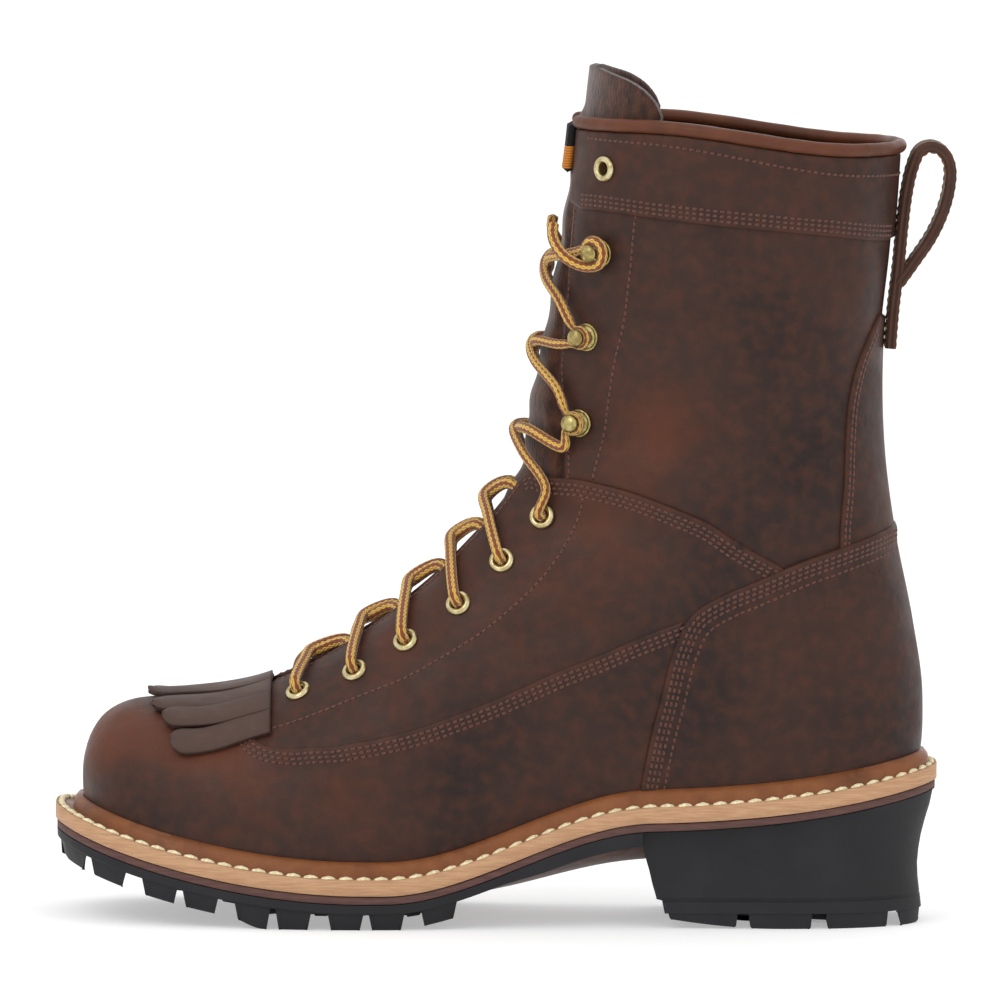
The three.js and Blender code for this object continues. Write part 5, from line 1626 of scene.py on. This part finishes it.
class Sole:
    """Welt, midsoles, lugged outsole, heel and insole."""

    def __init__(self, last: Last, sizes: SoleSizes) -> None:
        """Find the last's place in the part's frame, and lay out the feather line."""
        self.last = last
        self.sizes = sizes
        self.line, self.out = self._feather(300)
        gap = last.sizes.gap
        self.leather_top = sizes.welt + 1.5 * gap
        self.rubber_top = self.leather_top + sizes.leather + gap
        self.base_top = self.rubber_top + sizes.rubber + gap
        low_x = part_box("leather_midsole")[0][0] / MM
        last.origin = np.array([low_x - self.outline(0.0)[:, 0].min(), 0.03, 0.0])

    def _feather(self, count: int) -> tuple[Array, Array]:
        """Outline where the last meets the welt, and its outward directions."""
        share = 0.5 - 0.5 * np.cos(math.pi * np.arange(1, 60) / 60)
        sides = []
        for side in Side:
            place, turn = self.last.place_of(0.002 + 0.992 * share, np.full(59, 5 / 134), side)
            sides.append(self.last.bare_point(place, turn)[:, :2])
        loop = spline(np.vstack([sides[0], sides[1][::-1]]), 0.5, closed=True)
        line = resample(loop, np.linalg.norm(np.diff(loop, axis=0), axis=1).sum() / count)[:-1]
        run = np.roll(line, -1, axis=0) - np.roll(line, 1, axis=0)
        out = unit(np.stack([run[:, 1], -run[:, 0]], axis=1))
        if np.dot(out[0], line[0]) < 0:
            out = -out
        return line, out

    def shelf_at(self, x: Array) -> Array:
        """How far the sole stands out from the upper."""
        return self.sizes.shelf + self.sizes.toe_shelf * smooth_step((0.16 - self.last.share_at(x)) / 0.16)

    def outline(self, inset: float) -> Array:
        """Outline of the sole in plan."""
        return self.line + self.out * (self.shelf_at(self.line[:, 0]) - inset)[:, None]

    def base_under(self, x: Array) -> Array:
        """Height of the underside of the outsole's base."""
        s, last = self.sizes, self.last
        start, end = last.along(0.492), last.along(0.6635)
        thicker = s.waist * smooth_step((x - start) / (end - start) / 0.4)
        return last.welt_top(x) - self.base_top - s.base - thicker

    def lug_under(self, x: Array) -> Array:
        """Height of the underside of the lugs."""
        last = self.last
        off = np.maximum(0.0, np.maximum((last.along(0.222) - x) / 12, (x - last.along(0.376)) / 12))
        return (last.welt_top(x) - last.stack) * smooth_step(off)

    def _band(self, name: str, rings: Sequence[tuple[float, float]], finish: str, slot: str) -> Piece:
        """Wall through rings, each an inset and a depth under the welt's top, from the top down."""
        rows = []
        for inset, depth in rings:
            plan = self.outline(inset)
            rows.append(np.column_stack([plan, self.last.welt_top(plan[:, 0]) - depth]) + self.last.origin)
        points = np.array(rows).reshape(-1, 3)
        faces = self._outward(points, grid_faces(len(rings), len(self.line), closed=True))
        return Piece(name, points, faces, finish, slot)

    def _outward(self, points: Array, faces: list) -> list:
        """Turn the faces of a wall away from the boot's middle line."""
        turned = []
        for face in faces:
            a, b, c = (points[face[k]] for k in (0, 1, 3))
            away = (a + b + c) / 3 - np.array([np.clip(a[0], -95, 105), 0, a[2]])
            turned.append(face if np.dot(np.cross(b - a, c - a), away) > 0 else face[::-1])
        return turned

    def welt(self) -> Piece:
        """Welt with its stitch shelf and the raised bead against the upper."""
        s = self.sizes
        w, b, h = s.shelf, s.bead_width, s.bead_height
        bead = [(-1, 0.9), (-0.5, 1.04), (0.1, 1), (0.6, 0.86), (0.95, 0.55), (1, 0.15), (1.15, 0)]
        section = [(-w - b, -0.5)] + [(-w + b * share, h * rise) for share, rise in bead]
        section += [(-w * 0.4, 0.15), (-0.7, 0.1), (-0.2, -0.15), (0.0, -0.6)]
        section += [(0.0, -s.welt + 0.4), (-0.4, -s.welt - 0.2), (-3.0, -s.welt - 0.2)]
        rings = []
        for reach, height in section:
            shelf = self.shelf_at(self.line[:, 0]) if reach > -1 else np.full(len(self.line), s.shelf)
            plan = self.line + self.out * (shelf + reach)[:, None]
            rings.append(np.column_stack([plan, self.last.welt_top(plan[:, 0]) + height]) + self.last.origin)
        points = np.array(rings).reshape(-1, 3)
        faces = self._outward(points, grid_faces(len(section), len(self.line), closed=True))
        lip = points[8 * len(self.line):9 * len(self.line)]
        marks = blank_marks(len(points))
        marks["edge"] = np.minimum(distance_to(points, lip) + 3.0, FAR_INSIDE)
        faces = self._up(points, faces, 7, 10)
        return Piece("welt_strip", points, faces, "welt_leather", "welt_leather", marks)

    def _up(self, points: Array, faces: list, first: int, last_row: int) -> list:
        """Turn the faces of the flat shelf upward."""
        count = len(self.line)
        for k in range(first * count, last_row * count):
            a, b, c = (points[faces[k][i]] for i in (0, 1, 3))
            if np.cross(b - a, c - a)[2] < 0:
                faces[k] = faces[k][::-1]
        return faces

    def stitches(self) -> Piece:
        """Lock stitches along the welt's shelf."""
        shelf = self.shelf_at(self.line[:, 0]) - 1.9
        plan = self.line + self.out * shelf[:, None]
        line = np.column_stack([plan, self.last.welt_top(plan[:, 0]) + 0.35]) + self.last.origin
        line = np.vstack([line, line[:1]])
        up = np.tile([0.0, 0.0, 1.0], (len(line), 1))
        seam = Seam(6.2, 5.9, 2.7, 2.0, 0.22, 8)
        return seam.sew([(line, up)], "welt_stitches", "cream_thread", "welt_leather")

    def _cap(self, plan: Array, height: Callable[[Array], Array], spacing: float) -> tuple[Array, list]:
        """Fill an outline in plan with a surface that faces down."""
        low, high = plan.min(0), plan.max(0)
        xs, ys = np.meshgrid(np.arange(low[0], high[0], spacing), np.arange(low[1], high[1], spacing))
        grid = np.stack([xs.ravel(), ys.ravel()], axis=1)
        grid = grid[inside(grid, plan)]
        if len(grid):
            grid = grid[distance_to(grid, plan) > spacing * 0.5]
        flat = np.vstack([plan, grid])
        result = delaunay_2d_cdt([Vector(p) for p in flat], [], [list(range(len(plan)))], 1, 1e-5)
        spots = np.array([tuple(p) for p in result[0]])
        points = np.column_stack([spots, height(spots[:, 0])]) + self.last.origin
        faces = []
        for face in result[2]:
            a, b, c = (spots[face[k]] for k in (0, 1, 2))
            area = (b[0] - a[0]) * (c[1] - a[1]) - (b[1] - a[1]) * (c[0] - a[0])
            faces.append(tuple(face) if area < 0 else tuple(face)[::-1])
        return points, faces

    def prism(self, plan: Array, top: Callable, under: Callable, draft: float, bevel: float = 0.5) -> Piece:
        """Block under the sole with drawn-in walls and a bevelled underside.

        Args:
            plan: Outline in plan.
            top: Height of its top for each X.
            under: Height of its underside for each X.
            draft: How far the walls are drawn in at the underside.
            bevel: Size of the bevel round the underside.

        Returns:
            The block, open at its top.
        """
        run = np.roll(plan, -1, axis=0) - np.roll(plan, 1, axis=0)
        out = unit(np.stack([run[:, 1], -run[:, 0]], axis=1)) * (1 if loop_area(plan) > 0 else -1)
        rings = []
        for share, step in ((0.0, 0.0), (1.0, draft), (1.0, draft + bevel)):
            ring = plan - out * step
            low = under(ring[:, 0]) + (bevel if step == draft else 0.0)
            high = top(plan[:, 0])
            rings.append(np.column_stack([ring, high + (low - high) * share]) + self.last.origin)
        points = np.array(rings).reshape(-1, 3)
        faces = []
        count = len(plan)
        for face in grid_faces(3, count, closed=True):
            a, b, c = (points[face[k]] for k in (0, 1, 3))
            direction = out[face[0] % count]
            normal = np.cross(b - a, c - a)
            faces.append(face if np.dot(normal[:2], direction) > 0 else face[::-1])
        cap_points, cap_faces = self._cap(plan - out * (draft + bevel), under, 9.0)
        faces += [tuple(v + len(points) for v in face) for face in cap_faces]
        return Piece("block", np.vstack([points, cap_points]), faces, "black_rubber", "black_rubber")

    def _between(self, plan: Array, start: float, end: float, side: Side) -> Array:
        """Part of an outline on one side between two X values, running towards the heel."""
        wanted = plan[(plan[:, 1] * -side.value > 0)]
        wanted = wanted[np.argsort(wanted[:, 0])]
        x = np.linspace(max(start, wanted[0, 0] + 0.02), end, max(3, int((end - start) / 1.5)))
        return np.column_stack([x, np.interp(x, wanted[:, 0], wanted[:, 1])])

    def outsole(self) -> Piece:
        """Outsole: base, side lugs and the row of star lugs."""
        s, last = self.sizes, self.last
        end = last.along(0.6635) + 2
        plan = self.outline(s.inset)
        plan = plan[plan[:, 0] < end]
        order = np.argsort(np.arctan2(plan[:, 1], plan[:, 0] - last.along(0.35)))
        plan = plan[order]
        parts = [self.prism(plan, lambda x: last.welt_top(x) - self.base_top, self.base_under, 0.1, 0.6)]
        edge = self.outline(s.inset + s.lug_inset)
        first, stop = last.along(0.011), last.along(0.492)
        grooves = np.arange(first, stop + 1, s.pitch)

        def root(x: Array) -> Array:
            """Height at which the lugs start, inside the base."""
            return self.base_under(x) + 0.6

        starts = np.concatenate([[edge[:, 0].min() - s.narrow], grooves[:-1]])
        for i, x in enumerate(starts):
            low = x + (s.narrow if i % 2 else s.wide) / 2 - 1.2
            high = grooves[i] - (s.wide if i % 2 else s.narrow) / 2 + 1.2
            for side in Side:
                rim = self._between(edge, low, high, side)
                sign = -side.value
                if i < 2:
                    inner = np.column_stack([rim[::-1, 0], np.full(len(rim), sign * 0.2)])
                else:
                    depth = np.minimum(s.lug_reach, np.abs(rim[::-1, 1]) - 4)
                    inner = np.column_stack([rim[::-1, 0], rim[::-1, 1] - sign * depth])
                parts.append(self.prism(np.vstack([rim, inner]), root, self.lug_under, 1.3, 0.4))
        for i, x in enumerate(grooves[2:-1]):
            sides = [self._between(edge, x - 1, x + 1, side)[1, 1] for side in Side]
            star = self._star(x, sum(sides) / 2, 0 if i % 2 else math.pi / 4)
            parts.append(self.prism(star, root, self.lug_under, 0.5, 0.5))
        return joined("lugged_outsole", parts, "black_rubber", "black_rubber", 35)

    @staticmethod
    def _star(x: float, y: float, turn: float) -> Array:
        """Outline of a lug with four arms."""
        a, b = 8.5, 8.5 / 3
        quarter = [(a, -b), (a, b), (b, b)]
        points = []
        for k in range(4):
            angle = turn + k * math.pi / 2
            points += [
                (x + u * math.cos(angle) - v * math.sin(angle), y + u * math.sin(angle) + v * math.cos(angle))
                for u, v in quarter
            ]
        return np.array(points)

    def _heel_plan(self, breast: float, inset: float) -> Array:
        """Outline of the heel at one level, from the breast round the back."""
        plan = self.outline(inset)
        back = plan[:, 0].max()
        x = self.last.along(breast)
        x = x + (back - 0.02 - x) * np.sin(math.pi / 2 * np.linspace(0, 1, 40))
        sides = []
        for side in Side:
            part = plan[plan[:, 1] * -side.value > 0]
            part = part[np.argsort(part[:, 0])]
            sides.append(np.column_stack([x, np.interp(x, part[:, 0], part[:, 1])]))
        return np.vstack([sides[0], sides[1][::-1]])

    def heel(self) -> Piece:
        """Heel: a concave block over a lugged top piece."""
        s, last = self.sizes, self.last
        levels = [level for level in HEEL_LEVELS if level[0] >= s.notch_depth]
        rings = []
        for height, breast, draw in levels:
            plan = self._heel_plan(breast, s.inset + s.heel_taper * draw)
            z = np.minimum(height, last.welt_top(plan[:, 0]) - self.base_top)
            rings.append(np.column_stack([plan, z]) + last.origin)
        count = len(rings[0])
        points = np.array(rings).reshape(-1, 3)
        faces = self._outward(points, grid_faces(len(rings), count, closed=True))
        body = Piece("block", points, faces, "", "")
        low = self._heel_plan(0.693, s.inset + s.heel_taper * 0.8)
        roof = self._cap(low, lambda x: np.full_like(x, s.notch_depth), 9.0)
        parts = [body, Piece("roof", roof[0], roof[1], "", "")]
        bevel_end, bevel_start = last.along(0.833), last.along(0.695)

        def under(x: Array) -> Array:
            """Height of the heel's foot, bevelled at the breast."""
            return 3.6 * np.clip((bevel_end - x) / (bevel_end - bevel_start), 0, 1) ** 2

        def root(x: Array) -> Array:
            """Height at which the foot's blocks start, inside the heel."""
            return np.full_like(x, s.notch_depth + 0.3)

        cuts = [last.along(0.697)] + [last.along(share) for share in HEEL_NOTCHES] + [low[:, 0].max() - 0.4]
        widths = [0.0, 4.0, 5.0, 4.0, 0.0]
        for k in range(4):
            start, end = cuts[k] + widths[k] / 2, cuts[k + 1] - widths[k + 1] / 2
            for side in Side:
                sign = -side.value
                part = low[low[:, 1] * sign > 0]
                part = part[np.argsort(part[:, 0])]
                steps = np.linspace(0, 1, 14)
                x = start + (end - start) * (np.sin(steps * math.pi / 2) if k == 3 else steps)
                y = np.interp(x, part[:, 0], part[:, 1])
                reach = s.notch_reach + 6 if k < 3 else HEEL_ROOM
                inner = np.maximum(np.abs(y) - reach, 0.2) * sign
                plan = np.vstack([np.column_stack([x, y]), np.column_stack([x, inner])[::-1]])
                parts.append(self.prism(plan, root, under, 0.5, 0.6))
        middle = np.array([(cuts[0], -16.0), (cuts[3] - 3, -16.0), (cuts[3] - 3, 16.0), (cuts[0], 16.0)])
        parts.append(self.prism(middle, root, under, 0.5, 0.6))
        return joined("heel_block", parts, "black_rubber", "black_rubber", 35)

    def insole(self) -> Piece:
        """Footbed inside the upper."""
        last = self.last
        plan = self.line - self.out * 3.4
        points, faces = self._cap(plan, lambda x: last.welt_top(x) - self.sizes.welt + 3.3, 5.0)
        faces = [face[::-1] for face in faces]
        return Piece("footbed", points, faces, "insole_leather", "tan_leather", blank_marks(len(points)))

    def place(self) -> None:
        """Put the whole sole into the scene."""
        s = self.sizes
        a, b = self.leather_top, self.rubber_top
        low, under = a + s.leather, b + s.rubber
        leather = [(2.4, -0.2), (0.5, -0.2), (-0.1, 0.3), (-0.1, low - 0.3), (0.4, low), (4.0, low)]
        rubber = [(4.0, b), (0.7, b), (0.5, b + 0.2), (0.5, under - 0.2)]
        rubber += [(0.8, under + 0.1), (4.0, under + 0.2)]
        self.welt().place(["welt"])
        self.stitches().place()
        self._band("tan_midsole", leather, "tan_leather", "tan_leather").place(["leather_midsole"])
        self._band("brown_midsole", rubber, "brown_rubber", "brown_rubber").place(["rubber_midsole"])
        self.outsole().place(["outsole"])
        self.heel().place(["heel"])
        self.insole().place(["insole"])


HEEL_LEVELS = [
    (0, 0.697, 0.95), (1.6, 0.697, 0.66), (5.5, 0.693, 0.74), (9.6, 0.690, 0.82), (10.0, 0.690, 0.90),
    (10.6, 0.683, 0.90),
    (11.0, 0.683, 0.86), (16, 0.678, 0.96), (21, 0.674, 1.0), (26, 0.669, 0.93), (31, 0.665, 0.80),
    (37, 0.665, 0.55),
    (42, 0.665, 0.30), (50, 0.665, 0.1), (58, 0.665, 0.0),
]
HEEL_NOTCHES = [0.786, 0.876, 0.965]
# More than half the heel's width, for a block that reaches the middle line.
HEEL_ROOM = 100.0


@dataclass(frozen=True)
class HardwareSizes:
    """Profiles of the metal parts, as radius and height in millimetres."""

    eyelet: tuple[tuple[float, float], ...] = (
        (2.2, -3.2), (2.3, 0.4), (2.5, 1.0), (3.0, 1.38), (3.6, 1.42), (4.2, 1.15), (4.6, 0.6), (4.72, 0.1),
        (4.6, -0.2),
    )
    hook: tuple[tuple[float, float], ...] = (
        (5.0, -0.2), (5.05, 0.3), (4.75, 0.62), (4.3, 0.62), (4.0, 0.5), (3.7, 0.75), (3.1, 1.15), (2.2, 1.4),
        (1.75, 1.9), (1.65, 4.9), (1.9, 5.6), (2.9, 5.95), (3.25, 6.35), (3.2, 6.9), (2.7, 7.6), (1.8, 8.05),
        (0.8, 8.2), (0.02, 8.22),
    )
    eyelet_seat: float = 0.1
    hook_seat: float = -1.3
    turned: int = 32


@dataclass(frozen=True)
class LaceSizes:
    """Diameter of the lace and the levels it runs at, in millimetres."""

    width: float = 4.0
    over_eyelet: float = 3.7
    on_neck: float = 2.4
    in_gap: float = -0.4
    at_crossing: float = 2.2
    eyelet_middle: float = 0.36
    wide_throat: float = 12.0


class Site:
    """Place of an eyelet or a hook, with its own directions."""

    def __init__(self, last: Last, number: int, side: Side) -> None:
        """Find the foot and the directions of a site."""
        self.kind, share, level = LACING[number - 1]
        self.number, self.side = number, side
        place, turn = last.place_of(share, level, side)
        self.place = float(place[0])
        self.foot = last.point(place, turn)[0]
        self.out = last.normal(place, turn)[0]
        self.up = unit(last.bare_point(place + 0.1, turn) - last.bare_point(place - 0.1, turn))[0]
        front = np.cross(self.up, self.out)
        self.front = -front if front[0] > 0 else front

    def beside(self, forward: float, upward: float, outward: float) -> Array:
        """Point at a distance from the foot."""
        return self.foot + self.front * forward + self.up * upward + self.out * outward


class Lacing:
    """Eyelets, hooks and the lace that runs through them."""

    def __init__(self, last: Last, hardware: HardwareSizes, lace: LaceSizes) -> None:
        """Find every site."""
        self.last, self.hardware, self.lace = last, hardware, lace
        self.sites = {
            (number, side): Site(last, number, side) for number in range(1, len(LACING) + 1) for side in Side
        }

    def turned(self, site: Site) -> Piece:
        """Turn a metal part on its site."""
        is_eyelet = site.kind == "eyelet"
        profile = self.hardware.eyelet if is_eyelet else self.hardware.hook
        seat = self.hardware.eyelet_seat if is_eyelet else self.hardware.hook_seat
        around = np.linspace(0, TURN, self.hardware.turned, endpoint=False)
        ring = np.cos(around)[:, None] * site.front + np.sin(around)[:, None] * site.up
        points = np.array([site.foot + site.out * (seat + h) + ring * r for r, h in profile]).reshape(-1, 3)
        faces = grid_faces(len(profile), self.hardware.turned, closed=True)
        name = f"{site.side.name.lower()}_{site.kind}_{site.number}_metal"
        finish = "eyelet_brass" if is_eyelet else "hook_brass"
        return Piece(name, points, faces, finish, finish, {}, 50)

    def strand(self, number: int, side: Side) -> list[Array]:
        """Points of the lace from one site to the next one up on the other side."""
        sizes, sign = self.lace, side.value
        start, end = self.sites[number, side], self.sites[number + 1, Side(-sign)]
        middle = sizes.eyelet_middle if end.kind == "eyelet" else 0.5

        def over(share: float, wide: float, beyond: float, lift: float) -> Array:
            """Point over the throat: share of the way, share of half its width, distance past that, lift."""
            place = start.place + (end.place - start.place) * share
            across = wide * float(self.last.throat_half(place)) + beyond
            return self.last.point(place, self.last.turn_across(place, across), sizes.at_crossing + lift)[0]

        aside = sizes.width / 2 * sign
        if start.kind == "eyelet":
            points = [start.beside(0.4, 0.3, sizes.over_eyelet), over(middle / 2, -sign, -aside, 0.3)]
        else:
            points = [start.beside(2.7, 2.8, sizes.on_neck), over(0.25, -sign, -aside, 0.0)]
        is_wide = self.last.throat_half((start.place + end.place) / 2) > sizes.wide_throat
        if is_wide:
            points.append(over(0.37, -0.55 * sign, 0.0, 0.5))
        points.append(over(middle, 0.0, 0.0, 0.9 if sign > 0 else -0.7))
        if is_wide:
            points.append(over(0.63, 0.55 * sign, 0.0, 0.5))
        if end.kind == "eyelet":
            points.append(over(0.86, sign, -aside - 0.9 * sign, sizes.in_gap - sizes.at_crossing))
        else:
            points.append(over(0.75, sign, aside, 0.0))
        return points

    def through(self, site: Site) -> list[Array]:
        """Points of the lace from under the leather, up through an eyelet or round a hook."""
        if site.kind == "eyelet":
            return [site.beside(1.2, 0.5, -4.2), site.beside(0, 0, -2.6), site.beside(0, 0, 1.2)]
        neck = self.lace.on_neck
        return [
            site.beside(2.7, -2.8, neck), site.beside(0, -3.1, neck), site.beside(-2.2, -2.2, neck),
            site.beside(-3.1, 0, neck), site.beside(-2.2, 2.2, neck), site.beside(0, 3.1, neck),
        ]

    def run(self, side: Side) -> Piece:
        """One half of the lace, from the lowest eyelet to the top hook."""
        first = self.sites[1, side]
        points = [first.beside(4.0, 0.0, -5.0)] + self.through(first)
        for number in range(1, LACED_SITES):
            points += self.strand(number, side)
            side = Side(-side.value)
            if number + 1 < LACED_SITES:
                points += self.through(self.sites[number + 1, side])
        top = self.sites[LACED_SITES, side]
        points += [top.beside(4.4, 1.2, self.lace.on_neck), top.beside(*LACE_END[0])]
        line = spline(np.array(points), 0.9)
        sites = [self.sites[number, one] for number in (7, 8) for one in Side]
        hooked = [site.beside(0, 0, self.lace.on_neck) for site in sites]
        near = np.linalg.norm(line[:, None] - np.array(hooked)[None], axis=2).min(axis=1)
        radius = self.lace.width / 2 * (0.7 + 0.3 * smooth_step((near - 4.0) / 5.0))
        return tube(f"lace_to_{side.name.lower()}", line, radius, "lace_yarn", "lace_yarn", 14, 0.86)

    def end(self, side: Side) -> None:
        """Free end of the lace, once round the top hook and down beside the throat."""
        site = self.sites[LACED_SITES, side]
        line = spline(np.array([site.beside(*row) for row in LACE_END]), 0.7)
        share = np.linspace(0, 1, len(line))
        radius = self.lace.width / 2 * np.sqrt(np.clip((1 - share) / 0.012, 0.25, 1))
        piece = tube(f"lace_end_{side.name.lower()}_yarn", line, radius, "lace_yarn", "lace_yarn", 14, 0.9)
        placed = piece.place([f"lace_end_{side.name.lower()}"])
        length = float(np.linalg.norm(np.diff(line, axis=0), axis=1).sum()) * MM
        path = [tuple(point * MM) for point in line[::3]]
        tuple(path[0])

    def place(self) -> None:
        """Put the metal parts and the lace into the scene."""
        for site in self.sites.values():
            node = f"{site.kind}_{site.side.name.lower()}_{site.number}"
            self.turned(site).place([node])
        crossings = [f"lace_cross_{number}" for number in range(1, LACED_SITES)]
        self.run(Side.OUTER).place(crossings[0::2])
        self.run(Side.INNER).place(crossings[1::2])


# Lace end, from the top hook's foot: millimetres forward, up and out.
LACE_END = [
    (3.5, 2.3, 2.6), (2.2, 3.9, 2.6), (-0.5, 4.4, 2.6), (-3.4, 2.9, 2.6), (-4.4, 0, 2.6), (-3.3, -3, 2.6),
    (-0.4, -4.4, 2.8), (3.6, -4.6, 4.6), (8, -2.6, 7.4), (12.5, 0.6, 7.8), (16.5, 4.4, 6.2), (18, 8.4, 4.4),
]


@dataclass(frozen=True)
class StudioSizes:
    """Camera and lights, in metres, degrees and watts."""

    distance: float = 4.5
    elevation: float = 4.5
    lens: float = 454.0
    aim: tuple[float, float, float] = (-0.00165, 0.0, 0.1489)
    roll: float = 0.5
    key: float = 5.0
    fill: float = 1.2
    top: float = 2.0
    sky: float = 1.0


class Studio:
    """Camera, floor and lights of the picture."""

    def __init__(self, sizes: StudioSizes) -> None:
        """Keep the sizes."""
        self.sizes = sizes

    def camera(self) -> None:
        """Look at the boot from its outer side, from a little above."""
        s = self.sizes
        camera = bpy.data.cameras.new("camera")
        camera.lens, camera.sensor_width = s.lens, 36.0
        camera.clip_end = 30.0
        holder = bpy.data.objects.new("camera", camera)
        bpy.context.scene.collection.objects.link(holder)
        rise = math.radians(s.elevation)
        aim = Vector(s.aim)
        holder.location = aim + Vector((0, -math.cos(rise), math.sin(rise))) * s.distance
        look = (aim - holder.location).to_track_quat("-Z", "Y").to_matrix().to_4x4()
        roll = Matrix.Rotation(math.radians(s.roll), 4, "Z")
        holder.matrix_world = Matrix.Translation(holder.location) @ look @ roll
        bpy.context.scene.camera = holder

    def lights(self) -> None:
        """Soft white lights, and a white world behind the boot."""
        s = self.sizes
        for name, place, size, power in (
            ("key", (-0.7, -1.1, 1.1), 0.9, s.key), ("fill", (1.0, -0.9, 0.7), 1.1, s.fill),
            ("top", (0.1, 0.2, 1.5), 1.2, s.top), ("back", (0.3, 1.3, 0.9), 1.0, s.fill * 0.7),
        ):
            light = bpy.data.lights.new(name, "AREA")
            light.energy, light.size = power, size
            lamp = bpy.data.objects.new(name, light)
            bpy.context.scene.collection.objects.link(lamp)
            lamp.location = place
            lamp.rotation_euler = (Vector((0, 0, 0.12)) - lamp.location).to_track_quat("-Z", "Y").to_euler()
        world = bpy.context.scene.world or bpy.data.worlds.new("world")
        bpy.context.scene.world = world
        world.use_nodes = True
        back = world.node_tree.nodes["Background"]
        back.inputs["Color"].default_value = (1.0, 1.0, 1.0, 1.0)
        back.inputs["Strength"].default_value = s.sky
        bpy.context.scene.view_settings.view_transform = "Standard"

    def floor(self) -> None:
        """Pale floor that the boot stands on."""
        mesh = bpy.data.meshes.new("floor")
        mesh.from_pydata([(-9, -9, 0), (9, -9, 0), (9, 9, 0), (-9, 9, 0)], [], [(0, 1, 2, 3)])
        mesh.materials.append(bpy.data.materials["floor_paint_finish"])
        floor = bpy.data.objects.new("floor", mesh)
        bpy.context.scene.collection.objects.link(floor)


def main() -> None:
    """Build the boot and its studio."""
    logging.basicConfig(level=logging.INFO, format="%(name)s %(message)s")
    for finish in FINISHES:
        finish.build()
    studio = Studio(StudioSizes())
    studio.camera()
    sole_sizes, leather = SoleSizes(), LeatherSizes()
    last = Last(LastSizes(), sole_sizes)
    sole = Sole(last, sole_sizes)
    lacing = Lacing(last, HardwareSizes(), LaceSizes())
    for side in Side:
        lacing.end(side)
    lacing.place()
    sole.place()
    upper = Upper(last, leather)
    upper.place()
    Fittings(last, leather, upper).place()
    studio.floor()
    studio.lights()


if __name__ == "__main__":
    main()
